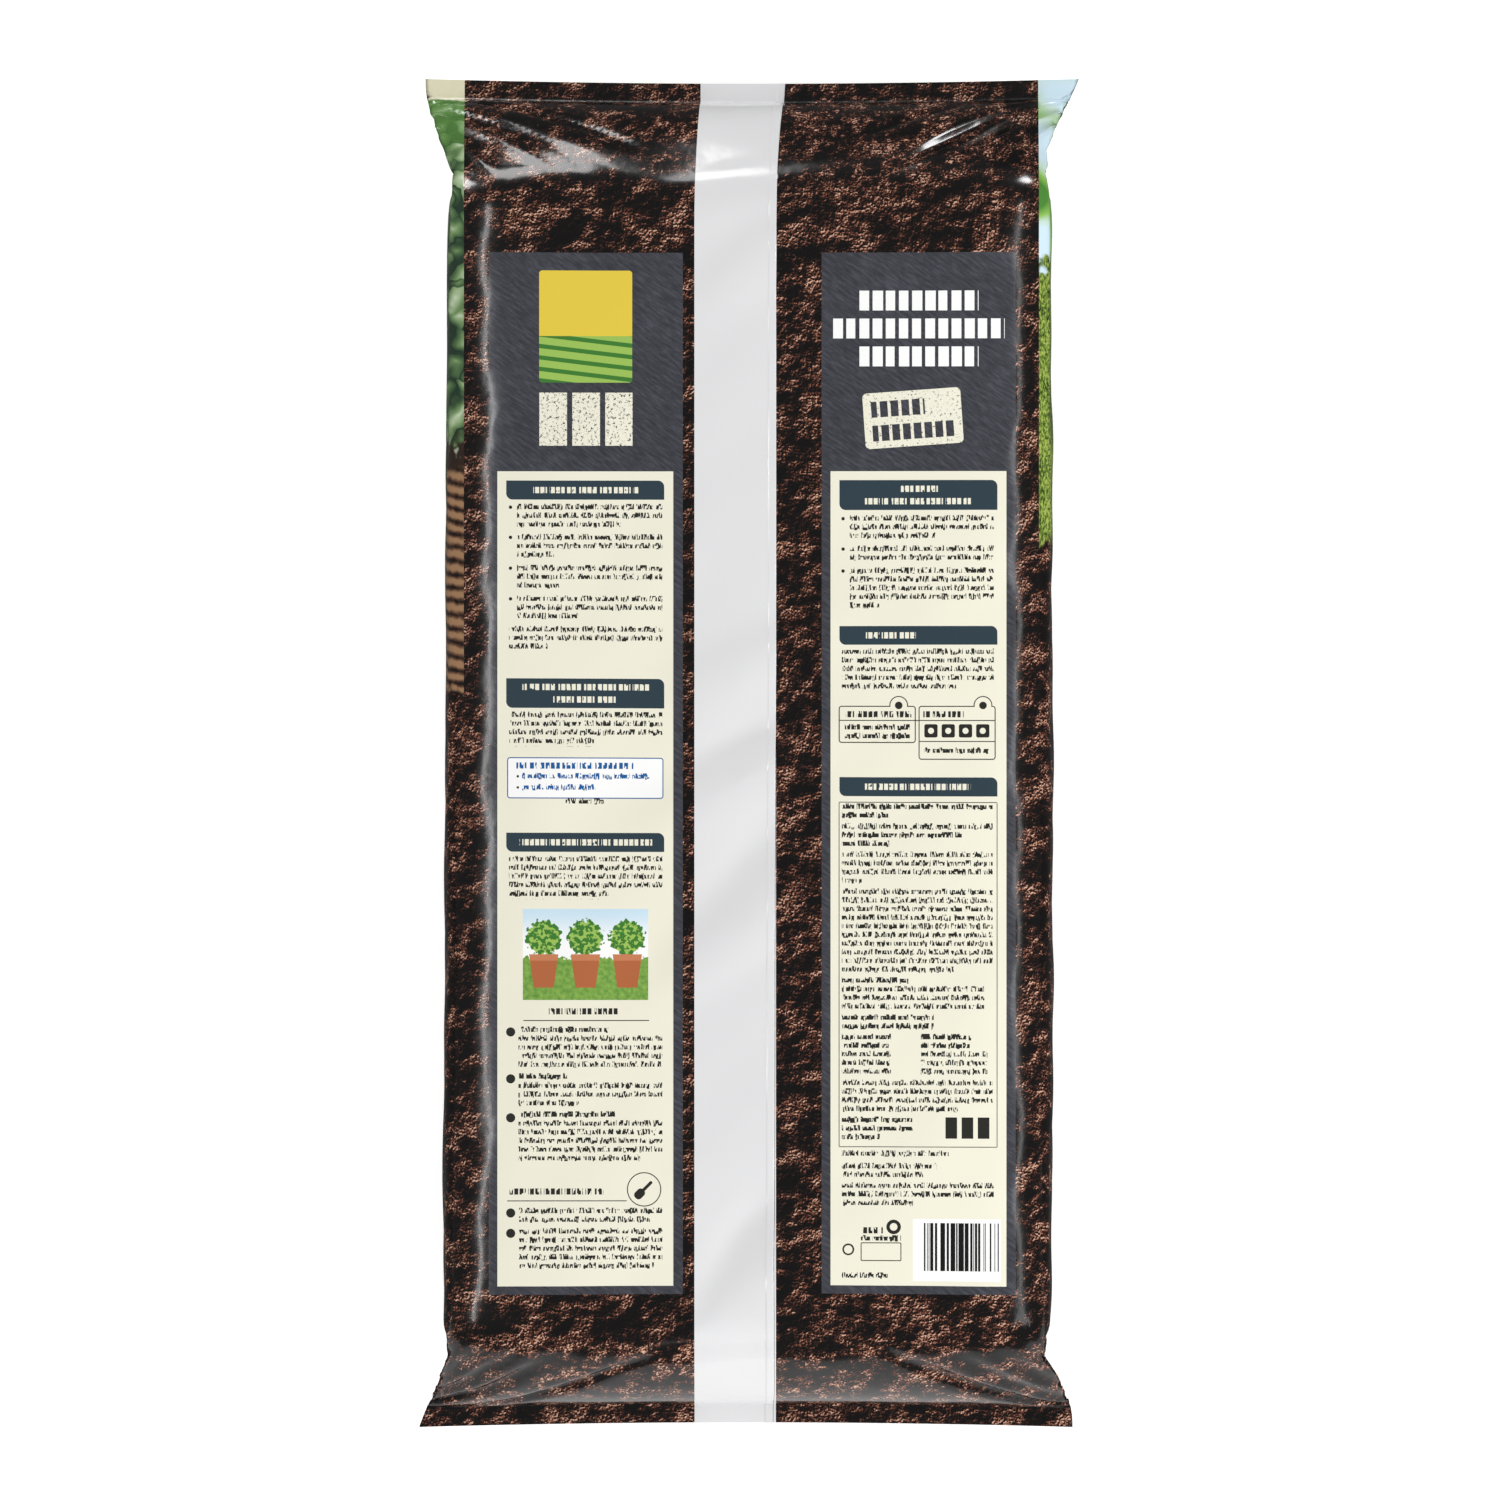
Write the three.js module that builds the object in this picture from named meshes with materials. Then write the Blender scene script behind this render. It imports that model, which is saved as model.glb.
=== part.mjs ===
// A sealed compost bag, lying on its printed front with its lap-seamed back up.
// It is one tube of gusseted film, welded flat across both ends and packed full.
// Millimetres. +Z is up, +Y runs towards the top weld, and the origin is on the floor
// under the middle of the bag's outline.

import * as THREE from "three";

// The empty tube of film, folded flat
const FLAT_WIDTH = 412;
const GUSSET_DEPTH = 62;

// The filled body
const BAG_LENGTH = 850;
const BODY_WIDTH = 378;
const BASE_FLARE = 2; // extra half width at the base end
const END_TAPER = 4; // half width lost beside each weld
const TAPER_REACH = 45;
const BAG_HEIGHT = 186;
const BACK_CROWN = 9; // how far the back domes between its two rolled edges
const END_FALL = 13; // how much lower the back is at its ends than at mid length
const GUSSET_HEIGHT = 88; // middle crease of each gusset, above the floor
const GUSSET_DIMPLE = 6; // how far that crease stays tucked in along the body
const GUSSET_BULGE = 4; // how far the contents push each half of a gusset out
const FOOT_MARGIN = 30; // from the side in to where the front lies flat on the floor

// The welded ends
const WELD_BAND = 13;
const WELD_THICKNESS = 1.2;
const WELD_HEIGHT = 80;
const WELD_DROOP = 5; // how far the free edge of each weld hangs below its root
const WELD_BOW = 3; // how far the middle of each weld is drawn in
const WELD_SKEW = 2; // sideways lean of the outline, right at the top and left at the base
// For each end, how far the back and the front slope to the weld, how soon the bag leans over,
// and for each corner's ear, how far in from the end of the bag it runs and how blunt it is
const TOP_END = {
  slope: 64, foot: 58, lean: 6,
  left: { reach: 59, bluntness: 1.8 }, right: { reach: 44, bluntness: 1.1 },
};
const BASE_END = {
  slope: 50, foot: 46, lean: 2,
  left: { reach: 45, bluntness: 1.1 }, right: { reach: 43, bluntness: 2.2 },
};

// Gathers that fan from the welds, and the hollows between lumps of the contents
const GATHER_HEIGHT = 2.4;
const GATHER_PITCH = 37;
const GATHER_REACH = 17;
const HOLLOW_DEPTH = 3;
const HOLLOW_LENGTH = 230;
const HOLLOW_WIDTH = 170;

// Shape of the curves, as exponents of superellipses
const BACK_SQUARENESS = 6.5;
const WELD_SQUARENESS = 2.3;
const END_BLUNTNESS = 1.75;

// Fields of printed colour on the back: x from and to, y from and to
const SEAM_STRIP = { x: [-34.5, 17] };
const BACK_PRINT = { x: [-180, 183] };
const SLATE_PANELS = [
  { x: [-164.5, -41.5], y: [-341, 315] },
  { x: [46, 168], y: [-341, 315] },
];
const TEXT_PANELS = [
  { x: [-159, -47.5], y: [-335.5, 177] },
  { x: [51.5, 162], y: [-335.5, 177] },
];
const GARDEN_FROM = { left: 65, right: 130 }; // the front's garden picture, above these heights

const COLOURS = {
  soil: new THREE.Color(0x2c1d17),
  slate: new THREE.Color(0x47484e),
  text: new THREE.Color(0xf0eeda),
  strip: new THREE.Color(0xe7e7e7),
  garden: new THREE.Color(0x6d9440),
};

// Fineness of the facets
const BACK_STEP = 28;
const EDGE_STEP = 9;
const EDGE_ZONE = 42;
const BODY_STEP = 40;
const SLOPE_ROWS = 11;
const ROLL_COLUMNS = 4;
const GUSSET_COLUMNS = 2;

const HALF_LENGTH = BAG_LENGTH / 2;
const HALF_FILM = WELD_THICKNESS / 2;
// Half the height of an open gusset, whose two halves keep the film's own depth
const OPEN_GUSSET = Math.sqrt(GUSSET_DEPTH ** 2 - GUSSET_DIMPLE ** 2);

const mix = (a, b, t) => a + (b - a) * t;
const superArc = (t, power) => (1 - (1 - t) ** power) ** (1 / power);

// Everything that the outline of one cross-section needs, at a plan distance y along the bag
function sectionAt(y) {
  const end = y > 0 ? TOP_END : BASE_END;
  const fromWeld = Math.max(0, HALF_LENGTH - WELD_BAND - Math.abs(y));
  const intoBand = Math.max(0, Math.abs(y) - (HALF_LENGTH - WELD_BAND)) / WELD_BAND;
  const t = Math.min(1, fromWeld / end.slope);
  const opening = Math.sin((t * Math.PI) / 2) ** 1.3;

  const weldZ = WELD_HEIGHT - WELD_DROOP * intoBand;
  const backZ = BAG_HEIGHT - END_FALL * (y / HALF_LENGTH) ** 4;
  const bodyHalf = BODY_WIDTH / 2 + BASE_FLARE * (0.5 - y / BAG_LENGTH)
    - END_TAPER * Math.exp(-fromWeld / TAPER_REACH);
  const halfAt = ({ reach, bluntness }) => {
    const ear = 1 - Math.min(1, (HALF_LENGTH - Math.abs(y)) / reach) ** bluntness;
    return mix(bodyHalf, FLAT_WIDTH / 2, ear);
  };
  const creaseGap = mix(HALF_FILM, OPEN_GUSSET, opening);
  const middle = mix(weldZ, GUSSET_HEIGHT, opening);
  const underT = Math.min(1, fromWeld / end.foot);
  return {
    y,
    t,
    left: halfAt(end.left),
    right: halfAt(end.right),
    fromWeld,
    skew: WELD_SKEW * Math.sign(y) * Math.abs(y / HALF_LENGTH) ** end.lean,
    bow: WELD_BOW * Math.sign(y) * (1 - t),
    top: mix(weldZ + HALF_FILM, backZ, superArc(t, END_BLUNTNESS)),
    bottom: mix(weldZ - HALF_FILM, 0, superArc(underT, END_BLUNTNESS)),
    upperCrease: middle + creaseGap,
    lowerCrease: middle - creaseGap,
    tuck: t > 0 ? Math.sqrt(GUSSET_DEPTH ** 2 - Math.min(creaseGap, GUSSET_DEPTH) ** 2) : 0,
    bulge: GUSSET_BULGE * opening ** 3,
  };
}

const halfWidthAt = (x, s) => (x < 0 ? s.left : s.right);

// Small folds that fan from a weld, none on the weld itself
function gatherAt(x, s) {
  const reach = s.fromWeld / GATHER_REACH;
  const phase = s.y > 0 ? 0.9 : 2.3;
  const wave = Math.cos((2 * Math.PI * x) / GATHER_PITCH + phase)
    + 0.6 * Math.cos((2 * Math.PI * x) / (GATHER_PITCH * 0.57) + 2 * phase);
  return GATHER_HEIGHT * reach * Math.exp(1 - reach) * wave * 0.5;
}

// Shallow hollows in the back, where the contents have settled
function hollowAt(x, s) {
  const wave = Math.sin((2 * Math.PI * (s.y + 0.5 * x)) / HOLLOW_LENGTH)
    * Math.cos((2 * Math.PI * (x - 0.2 * s.y)) / HOLLOW_WIDTH);
  return HOLLOW_DEPTH * s.t * 0.5 * (1 + wave);
}

function backHeight(x, s) {
  const share = Math.min(1, Math.abs(x) / halfWidthAt(x, s));
  const squareness = mix(WELD_SQUARENESS, BACK_SQUARENESS, s.t);
  const crown = Math.min(BACK_CROWN, (s.top - s.upperCrease) / 2) * s.t;
  const rolled = Math.sqrt(1 - share ** squareness);
  const plain = s.upperCrease + (s.top - s.upperCrease - crown) * rolled + crown * (1 - share ** 2);
  const inner = 1 - share ** 4;
  return plain + (gatherAt(x, s) - hollowAt(x, s)) * inner;
}

function frontHeight(x, s) {
  const half = halfWidthAt(x, s);
  const margin = mix(half * 0.7, FOOT_MARGIN, s.t);
  const roll = Math.max(0, (Math.abs(x) - (half - margin)) / margin);
  const plain = mix(s.bottom, s.lowerCrease, 1 - Math.sqrt(1 - Math.min(1, roll) ** 2));
  const lift = gatherAt(x + GATHER_PITCH / 3, s) * (1 - (x / half) ** 4) * (1 - s.t);
  return Math.max(0, plain + lift);
}

// A rising list of places that holds every edge, with no step wider than asked for
function fill(edges, stepAt) {
  const sorted = [...new Set(edges)].sort((a, b) => a - b);
  const places = [sorted[0]];
  for (let i = 1; i < sorted.length; i++) {
    const from = sorted[i - 1];
    const gap = sorted[i] - from;
    const count = Math.ceil(gap / stepAt((from + sorted[i]) / 2) - 1e-6);
    for (let k = 1; k <= count; k++) places.push(from + (gap * k) / count);
  }
  return places;
}

const bodyHalfWidth = BODY_WIDTH / 2;
const printEdges = [SEAM_STRIP, BACK_PRINT, ...SLATE_PANELS, ...TEXT_PANELS].flatMap((f) => f.x);
const edgeZone = bodyHalfWidth - EDGE_ZONE;
const COLUMNS = fill([...printEdges, -edgeZone, edgeZone], (x) =>
  Math.abs(x) > edgeZone ? EDGE_STEP : BACK_STEP,
);

// The places across one face, with the rolled edges' own places beyond the printed back
function acrossFace(leftHalf, rightHalf) {
  const rolled = (from, to) =>
    Array.from({ length: ROLL_COLUMNS }, (_, k) =>
      mix(from, to, Math.sin(((k + 1) / ROLL_COLUMNS) * (Math.PI / 2))),
    );
  const left = rolled(COLUMNS[0], -leftHalf).reverse();
  return [...left, ...COLUMNS, ...rolled(COLUMNS.at(-1), rightHalf)];
}

// One gusset's film from its upper crease to its lower one: its middle crease is tucked in
function gusset(s, side) {
  const middle = (s.upperCrease + s.lowerCrease) / 2;
  const half = halfWidthAt(side, s);
  const points = [];
  for (const [from, to] of [[s.upperCrease, middle], [middle, s.lowerCrease]]) {
    for (let k = 1; k <= GUSSET_COLUMNS + 1; k++) {
      const share = k / (GUSSET_COLUMNS + 1);
      const tucked = from === middle ? 1 - share : share;
      const x = half - s.tuck * tucked + s.bulge * 4 * share * (1 - share);
      points.push([side * x, mix(from, to, share)]);
    }
  }
  points.pop();
  return points;
}

// One closed ring of the bag's surface: back, right gusset, front, left gusset
function ringAt(y) {
  const s = sectionAt(y);
  const across = acrossFace(s.left, s.right);
  const back = across.map((x) => [x, backHeight(x, s)]);
  const front = [...across].reverse().map((x) => [x, frontHeight(x, s)]);
  const outline = [...back, ...gusset(s, 1), ...front, ...gusset(s, -1).reverse()];
  return outline.map(([x, z]) => {
    const drawnIn = s.bow * (1 - Math.min(1, (x / halfWidthAt(x, s)) ** 2));
    return new THREE.Vector3(x + s.skew, y - drawnIn, z);
  });
}

function rowPlaces() {
  const sloping = (end) =>
    Array.from({ length: SLOPE_ROWS }, (_, k) =>
      HALF_LENGTH - WELD_BAND - end.slope * (1 - Math.cos((k / SLOPE_ROWS) * (Math.PI / 2))),
    );
  const topBody = HALF_LENGTH - WELD_BAND - TOP_END.slope;
  const baseBody = HALF_LENGTH - WELD_BAND - BASE_END.slope;
  const fields = [...SLATE_PANELS, ...TEXT_PANELS].flatMap((f) => f.y);
  const body = fill([-baseBody, ...fields, ...Object.values(GARDEN_FROM), topBody], () => BODY_STEP);
  const base = sloping(BASE_END).map((y) => -y);
  return [-HALF_LENGTH, ...base, ...body, ...sloping(TOP_END).reverse(), HALF_LENGTH];
}

// The printed colour under a point, by the face of the tube that it is on
function colourAt(point, face) {
  const side = point.x < 0 ? "left" : "right";
  const isIn = (f) =>
    point.x > f.x[0] && point.x < f.x[1] && (!f.y || (point.y > f.y[0] && point.y < f.y[1]));
  if (face !== "back" || !isIn(BACK_PRINT)) {
    return point.y > GARDEN_FROM[side] ? COLOURS.garden : COLOURS.soil;
  }
  if (isIn(SEAM_STRIP)) return COLOURS.strip;
  if (TEXT_PANELS.some(isIn)) return COLOURS.text;
  return SLATE_PANELS.some(isIn) ? COLOURS.slate : COLOURS.soil;
}

function bagGeometry() {
  const rings = rowPlaces().map(ringAt);
  const count = rings[0].length;
  const lastBack = acrossFace(bodyHalfWidth, bodyHalfWidth).length - 1;
  const corners = [];
  const colours = [];
  const addTriangle = (a, b, c, face) => {
    const middle = a.clone().add(b).add(c).divideScalar(3);
    const colour = colourAt(middle, face);
    for (const corner of [a, b, c]) {
      corners.push(corner.x, corner.y, corner.z);
      colours.push(colour.r, colour.g, colour.b);
    }
  };

  for (let row = 1; row < rings.length; row++) {
    for (let i = 0; i < count; i++) {
      const next = (i + 1) % count;
      const [near, far] = [rings[row - 1], rings[row]];
      const face = i < lastBack ? "back" : "front";
      addTriangle(near[i], near[next], far[next], face);
      addTriangle(near[i], far[next], far[i], face);
    }
  }
  for (const ring of [rings[0], rings.at(-1)]) {
    const middle = ring.reduce((sum, p) => sum.add(p), new THREE.Vector3()).divideScalar(count);
    for (let i = 0; i < count; i++) {
      const pair = [ring[i], ring[(i + 1) % count]];
      if (ring === rings[0]) pair.reverse();
      addTriangle(middle, ...pair, "front");
    }
  }

  const geometry = new THREE.BufferGeometry();
  geometry.setAttribute("position", new THREE.Float32BufferAttribute(corners, 3));
  geometry.setAttribute("color", new THREE.Float32BufferAttribute(colours, 3));
  geometry.computeVertexNormals();
  return geometry;
}

const film = new THREE.MeshStandardMaterial({
  name: "printed_film",
  vertexColors: true,
  roughness: 0.35,
  metalness: 0,
});

const bag = new THREE.Group();
const sealedBag = new THREE.Mesh(bagGeometry(), film);
sealedBag.name = "compost_bag";
bag.add(sealedBag);

export default bag;
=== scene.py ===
"""Looks of a full, sealed compost bag that lies on its printed front, its seamed back up.

The bag is one tube of gusseted film. The film is laid on the plain form, with a few soft folds
over its back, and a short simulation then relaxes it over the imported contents.
Metres, +Z up and +Y towards the top weld, unless a comment says millimetres.
"""

import math

import bpy
import numpy as np
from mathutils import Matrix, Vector


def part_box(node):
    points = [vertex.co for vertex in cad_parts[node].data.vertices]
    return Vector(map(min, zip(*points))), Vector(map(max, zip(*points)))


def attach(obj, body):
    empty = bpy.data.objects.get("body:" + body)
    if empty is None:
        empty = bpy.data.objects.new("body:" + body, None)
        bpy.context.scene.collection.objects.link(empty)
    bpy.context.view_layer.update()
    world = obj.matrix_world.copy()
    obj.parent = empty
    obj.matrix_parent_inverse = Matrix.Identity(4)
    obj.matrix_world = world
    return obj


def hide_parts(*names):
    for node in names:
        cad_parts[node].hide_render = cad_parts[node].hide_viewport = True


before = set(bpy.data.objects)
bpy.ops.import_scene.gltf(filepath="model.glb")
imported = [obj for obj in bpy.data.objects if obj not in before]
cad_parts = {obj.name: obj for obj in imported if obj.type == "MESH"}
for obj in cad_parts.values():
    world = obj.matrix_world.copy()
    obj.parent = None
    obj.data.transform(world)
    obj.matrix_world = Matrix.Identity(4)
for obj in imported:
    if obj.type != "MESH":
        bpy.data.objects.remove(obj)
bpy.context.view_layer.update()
NODE = "compost_bag"
high_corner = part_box(NODE)[1]

# The empty tube of film
GUSSET_DEPTH = 0.062
FILM_LENGTH = 0.972
WELD_SKEW = 0.002
FLAT_WIDTH = 2 * (high_corner.x - WELD_SKEW)

# The filled body
HALF_LENGTH = high_corner.y
BAG_LENGTH = 2 * HALF_LENGTH
BAG_HEIGHT = high_corner.z
BODY_WIDTH = 0.378
BASE_FLARE = 0.002
END_TAPER = 0.004
TAPER_REACH = 0.045
BACK_CROWN = 0.009
END_FALL = 0.013
GUSSET_HEIGHT = 0.088
GUSSET_DIMPLE = 0.006
GUSSET_BULGE = 0.004
FOOT_MARGIN = 0.030
WELD_MARGIN = 0.7  # the same beside the welds, as a share of the half width
BACK_SQUARENESS = 6.5
WELD_SQUARENESS = 2.3
END_BLUNTNESS = 1.75
OPENING_POWER = 1.3

# The welded ends
WELD_BAND = 0.013
HALF_FILM = 0.0006
WELD_HEIGHT = 0.080
WELD_DROOP = 0.005
WELD_BOW = 0.003
TOP_END = {"slope": 0.064, "foot": 0.058, "lean": 6}
BASE_END = {"slope": 0.050, "foot": 0.046, "lean": 2}
# For each ear, how far in from the end of the bag it runs and how blunt it is
TOP_END |= {"right_reach": 0.044, "right_bluntness": 1.1, "left_reach": 0.059, "left_bluntness": 1.8}
BASE_END |= {"right_reach": 0.043, "right_bluntness": 2.2, "left_reach": 0.045, "left_bluntness": 1.1}

# Fineness of the film's grid: the coarse grid's cells, halved once or twice
COARSE_ROWS = 72
COARSE_INNER = 9
COARSE_OUTER = 4
PROFILE_SAMPLES = 240
LENGTH_SAMPLES = 4001

# The simulation
SEED = 3
COARSE_STEPS = 260
FINE_STEPS = 160
PUFF = 3e-6  # outward push of the contents in each step
KEPT_SPEED = 0.97
CRUSH = 0.25  # how much of a shortening each step takes back
BEND = 0.05
SHEAR = 0.7
HOLLOW = 0.0022  # how far the contents' surface lies inside the plain form, on the whole
LUMP = 0.0018  # and by how much that varies
BODY_ROOM, END_ROOM = 0.0035, 0.0090  # how far a point may move from the plain form
BODY_SWELL = 0.0001  # how much of that may be outwards
END_REACH = 0.110
WELD_HOLD = 0.060  # the weld holds and gathers the film beside it over this length
LEAST_LOOSE = 0.10  # how loose the film is right beside the weld, where 1 is fully loose
LAYER_GAP = 0.0003
UNEVENNESS = 0.0005  # soft lumps all over the filled body
NUDGE = 0.0003  # what the film starts with, so that its folds aren't even
FOLD_CLEARANCE = 0.03  # the folds of the back lie this far above the gussets' middle
FRAME_PROBE = 0.3  # the print keeps its lengths over this much of the bag, each way
PRINT_SHRINK = 1.004  # the print is this much smaller than its map, for the back is near the camera

MM = 1000  # millimetres in a metre

INNER_WIDTH = FLAT_WIDTH / 2 - GUSSET_DEPTH
PERIMETER = 2 * FLAT_WIDTH + 4 * GUSSET_DEPTH
OPEN_GUSSET = math.sqrt(GUSSET_DEPTH**2 - GUSSET_DIMPLE**2)


def mix(a, b, t):
    return a + (b - a) * t


def super_arc(t, power):
    return (1 - (1 - t) ** power) ** (1 / power)


def sections(y):
    """Everything that the outline of a cross-section needs, at places y along the bag."""
    end = {name: np.where(y > 0, TOP_END[name], BASE_END[name]) for name in TOP_END}
    from_weld = np.maximum(0, HALF_LENGTH - WELD_BAND - np.abs(y))
    into_band = np.maximum(0, np.abs(y) - (HALF_LENGTH - WELD_BAND)) / WELD_BAND
    t = np.minimum(1, from_weld / end["slope"])
    opening = np.sin(t * math.pi / 2) ** OPENING_POWER
    weld_z = WELD_HEIGHT - WELD_DROOP * into_band
    back_z = BAG_HEIGHT - END_FALL * (y / HALF_LENGTH) ** 4
    flare = BASE_FLARE * (0.5 - y / BAG_LENGTH)
    body_half = BODY_WIDTH / 2 + flare - END_TAPER * np.exp(-from_weld / TAPER_REACH)
    from_end = HALF_LENGTH - np.abs(y)
    half = {}
    for side in ("right", "left"):
        ear = 1 - np.minimum(1, from_end / end[side + "_reach"]) ** end[side + "_bluntness"]
        half[side] = mix(body_half, FLAT_WIDTH / 2, ear)
    crease_gap = mix(HALF_FILM, OPEN_GUSSET, opening)
    middle = mix(weld_z, GUSSET_HEIGHT, opening)
    under = np.minimum(1, from_weld / end["foot"])
    return {
        "y": y,
        "t": t,
        **half,
        "skew": WELD_SKEW * np.sign(y) * np.abs(y / HALF_LENGTH) ** end["lean"],
        "bow": WELD_BOW * np.sign(y) * (1 - t),
        "top": mix(weld_z + HALF_FILM, back_z, super_arc(t, END_BLUNTNESS)),
        "bottom": mix(weld_z - HALF_FILM, 0, super_arc(under, END_BLUNTNESS)),
        "upper": middle + crease_gap,
        "lower": middle - crease_gap,
        "tuck": np.sqrt(np.maximum(0, GUSSET_DEPTH**2 - np.minimum(crease_gap, GUSSET_DEPTH) ** 2)),
        "bulge": GUSSET_BULGE * opening**3,
    }


def back_height(x, half, s):
    share = np.minimum(1, x / half)
    squareness = mix(WELD_SQUARENESS, BACK_SQUARENESS, s["t"])
    crown = np.minimum(BACK_CROWN, (s["top"] - s["upper"]) / 2) * s["t"]
    rolled = np.sqrt(np.maximum(0, 1 - share**squareness))
    return s["upper"] + (s["top"] - s["upper"] - crown) * rolled + crown * (1 - share**2)


def front_height(x, half, s):
    margin = mix(half * WELD_MARGIN, FOOT_MARGIN, s["t"])
    roll = np.clip((x - (half - margin)) / margin, 0, 1)
    return np.maximum(0, mix(s["bottom"], s["lower"], 1 - np.sqrt(1 - roll**2)))


class Grid:
    """The film as a grid of rows along the bag and columns round it, from the back's middle."""

    def __init__(self, halvings):
        fold = 2**halvings
        self.inner = COARSE_INNER * fold
        self.outer = COARSE_OUTER * fold
        self.band = fold
        self.rows = COARSE_ROWS * fold + 1
        self.v = np.linspace(-FILM_LENGTH / 2, FILM_LENGTH / 2, self.rows)
        creases = [FLAT_WIDTH / 2 + k * GUSSET_DEPTH for k in range(3)]
        ends = [0, INNER_WIDTH, *creases, PERIMETER / 2 - INNER_WIDTH, PERIMETER / 2]
        counts = [self.inner, *[self.outer] * 4, self.inner]
        half = [np.linspace(a, b, n + 1)[:-1] for a, b, n in zip(ends, ends[1:], counts)]
        half = np.concatenate(half)
        self.half_u = np.append(half, PERIMETER / 2)
        self.u = np.concatenate([self.half_u, PERIMETER - half[:0:-1]])
        self.columns = len(self.u)
        self.upper = self.inner + self.outer
        self.middle = self.upper + self.outer
        self.lower = self.middle + self.outer
        self.numbers = np.arange(self.rows * self.columns).reshape(self.rows, self.columns)

    def rest_length(self, a, b, tautness):
        """The film's own length from vertices a to b, with each row's slack taken up."""
        across = np.abs(self.u[a % self.columns] - self.u[b % self.columns])
        across = np.minimum(across, PERIMETER - across)
        rows_a, rows_b = a // self.columns, b // self.columns
        along = self.v[rows_a] - self.v[rows_b]
        return np.hypot(across * (tautness[rows_a] + tautness[rows_b]) / 2, along)

    def stretch_pairs(self):
        """Sets of neighbours, with how stiffly each set keeps its length. No set names a vertex twice."""
        n = self.numbers
        after = np.roll(n, -1, axis=1)
        before = np.roll(n, 1, axis=1)
        for odd in (0, 1):
            yield n[:, odd::2], after[:, odd::2], 1.0, CRUSH
        for odd in (0, 1):
            yield n[:-1][odd::2], n[1:][odd::2], 1.0, CRUSH
        for odd in (0, 1):
            yield n[:-1][odd::2], after[1:][odd::2], SHEAR, CRUSH / 2
            yield n[:-1][odd::2], before[1:][odd::2], SHEAR, CRUSH / 2

    def bend_pairs(self):
        """The same for vertices two apart, which resist folding except over the gussets' creases."""
        n = self.numbers
        creases = [self.upper, self.middle, self.lower]
        creases += [self.columns - c for c in creases]
        across = np.roll(n, -2, axis=1)
        columns = np.arange(self.columns)
        creased = np.isin((columns + 1) % self.columns, creases)
        rows = np.arange(self.rows - 2)
        for odd in (0, 1):
            picked = columns[(columns // 2 % 2 == odd) & ~creased]
            yield n[:, picked], across[:, picked], 0.0, BEND
            picked = rows[rows // 2 % 2 == odd]
            yield n[picked], n[picked + 2], 0.0, BEND

    def layers(self):
        """Pairs of columns that lie on each other in the flat film, upper one first."""
        steps = np.arange(1, self.outer + 1)
        share = steps / self.outer
        for crease, gap_share in ((self.upper, share), (self.middle, 1 - share), (self.lower, share)):
            above, below = crease - steps, crease + steps
            yield above, below, LAYER_GAP * gap_share
            yield self.columns - above, self.columns - below, LAYER_GAP * gap_share


def places_along(lines, shares):
    """Points on lines (rows, samples, 2), at shares of each line's own length."""
    steps = np.linalg.norm(np.diff(lines, axis=1), axis=2)
    runs = np.concatenate([np.zeros((len(lines), 1)), np.cumsum(steps, axis=1)], axis=1)
    return np.stack([
        [np.interp(shares * run[-1], run, line[:, axis]) for run, line in zip(runs, lines)]
        for axis in (0, 1)
    ], axis=2)


def plan_places(v):
    """Where along the bag each film distance v lies, with the film followed over the back."""
    y = np.linspace(-HALF_LENGTH, HALF_LENGTH, LENGTH_SAMPLES)
    run = np.append(0, np.cumsum(np.hypot(np.diff(y), np.diff(sections(y)["top"]))))
    root = HALF_LENGTH - WELD_BAND
    band_film = FILM_LENGTH / COARSE_ROWS
    film = [-FILM_LENGTH / 2, -FILM_LENGTH / 2 + band_film, FILM_LENGTH / 2 - band_film, FILM_LENGTH / 2]
    path = [0, *np.interp([-root, root], y, run), run[-1]]
    return np.interp(np.interp(v, film, path), run, y)


def side_form(grid, half, s):
    """One side of each cross-section, from the back's middle to the front's, as x and z."""
    x = half * np.sin(np.linspace(0, math.pi / 2, PROFILE_SAMPLES))[None, :]
    quarter = FLAT_WIDTH / 2
    back_share = grid.half_u[: grid.upper] / quarter
    front_share = (PERIMETER / 2 - grid.half_u[grid.lower + 1 :]) / quarter
    back = places_along(np.stack([x, back_height(x, half, s)], axis=2), back_share)
    front = places_along(np.stack([x, front_height(x, half, s)], axis=2), front_share)

    down = ((grid.half_u[grid.upper : grid.lower + 1] - quarter) / GUSSET_DEPTH)[None, :]
    tucked = np.where(down <= 1, down, 2 - down)
    middle = (s["upper"] + s["lower"]) / 2
    gusset_x = half - s["tuck"] * tucked + s["bulge"] * 4 * tucked * (1 - tucked)
    gusset_z = np.where(down <= 1, mix(s["upper"], middle, down), mix(middle, s["lower"], down - 1))
    side = np.concatenate([back, np.stack([gusset_x, gusset_z], axis=2), front], axis=1)
    drawn_in = s["bow"] * (1 - np.minimum(1, (side[..., :1] / half[..., None]) ** 2)[..., 0])
    return np.stack([side[..., 0], s["y"] - drawn_in, side[..., 1]], axis=2)


def plain_form(grid):
    """The film laid on the plain form of the bag: one point for each row and column."""
    s = {name: value[:, None] for name, value in sections(plan_places(grid.v)).items()}
    right, left = side_form(grid, s["right"], s), side_form(grid, s["left"], s)
    ring = np.concatenate([right, left[:, -2:0:-1] * (-1, 1, 1)], axis=1)
    return ring + np.stack([s["skew"], s["skew"] * 0, s["skew"] * 0], axis=2)


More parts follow.
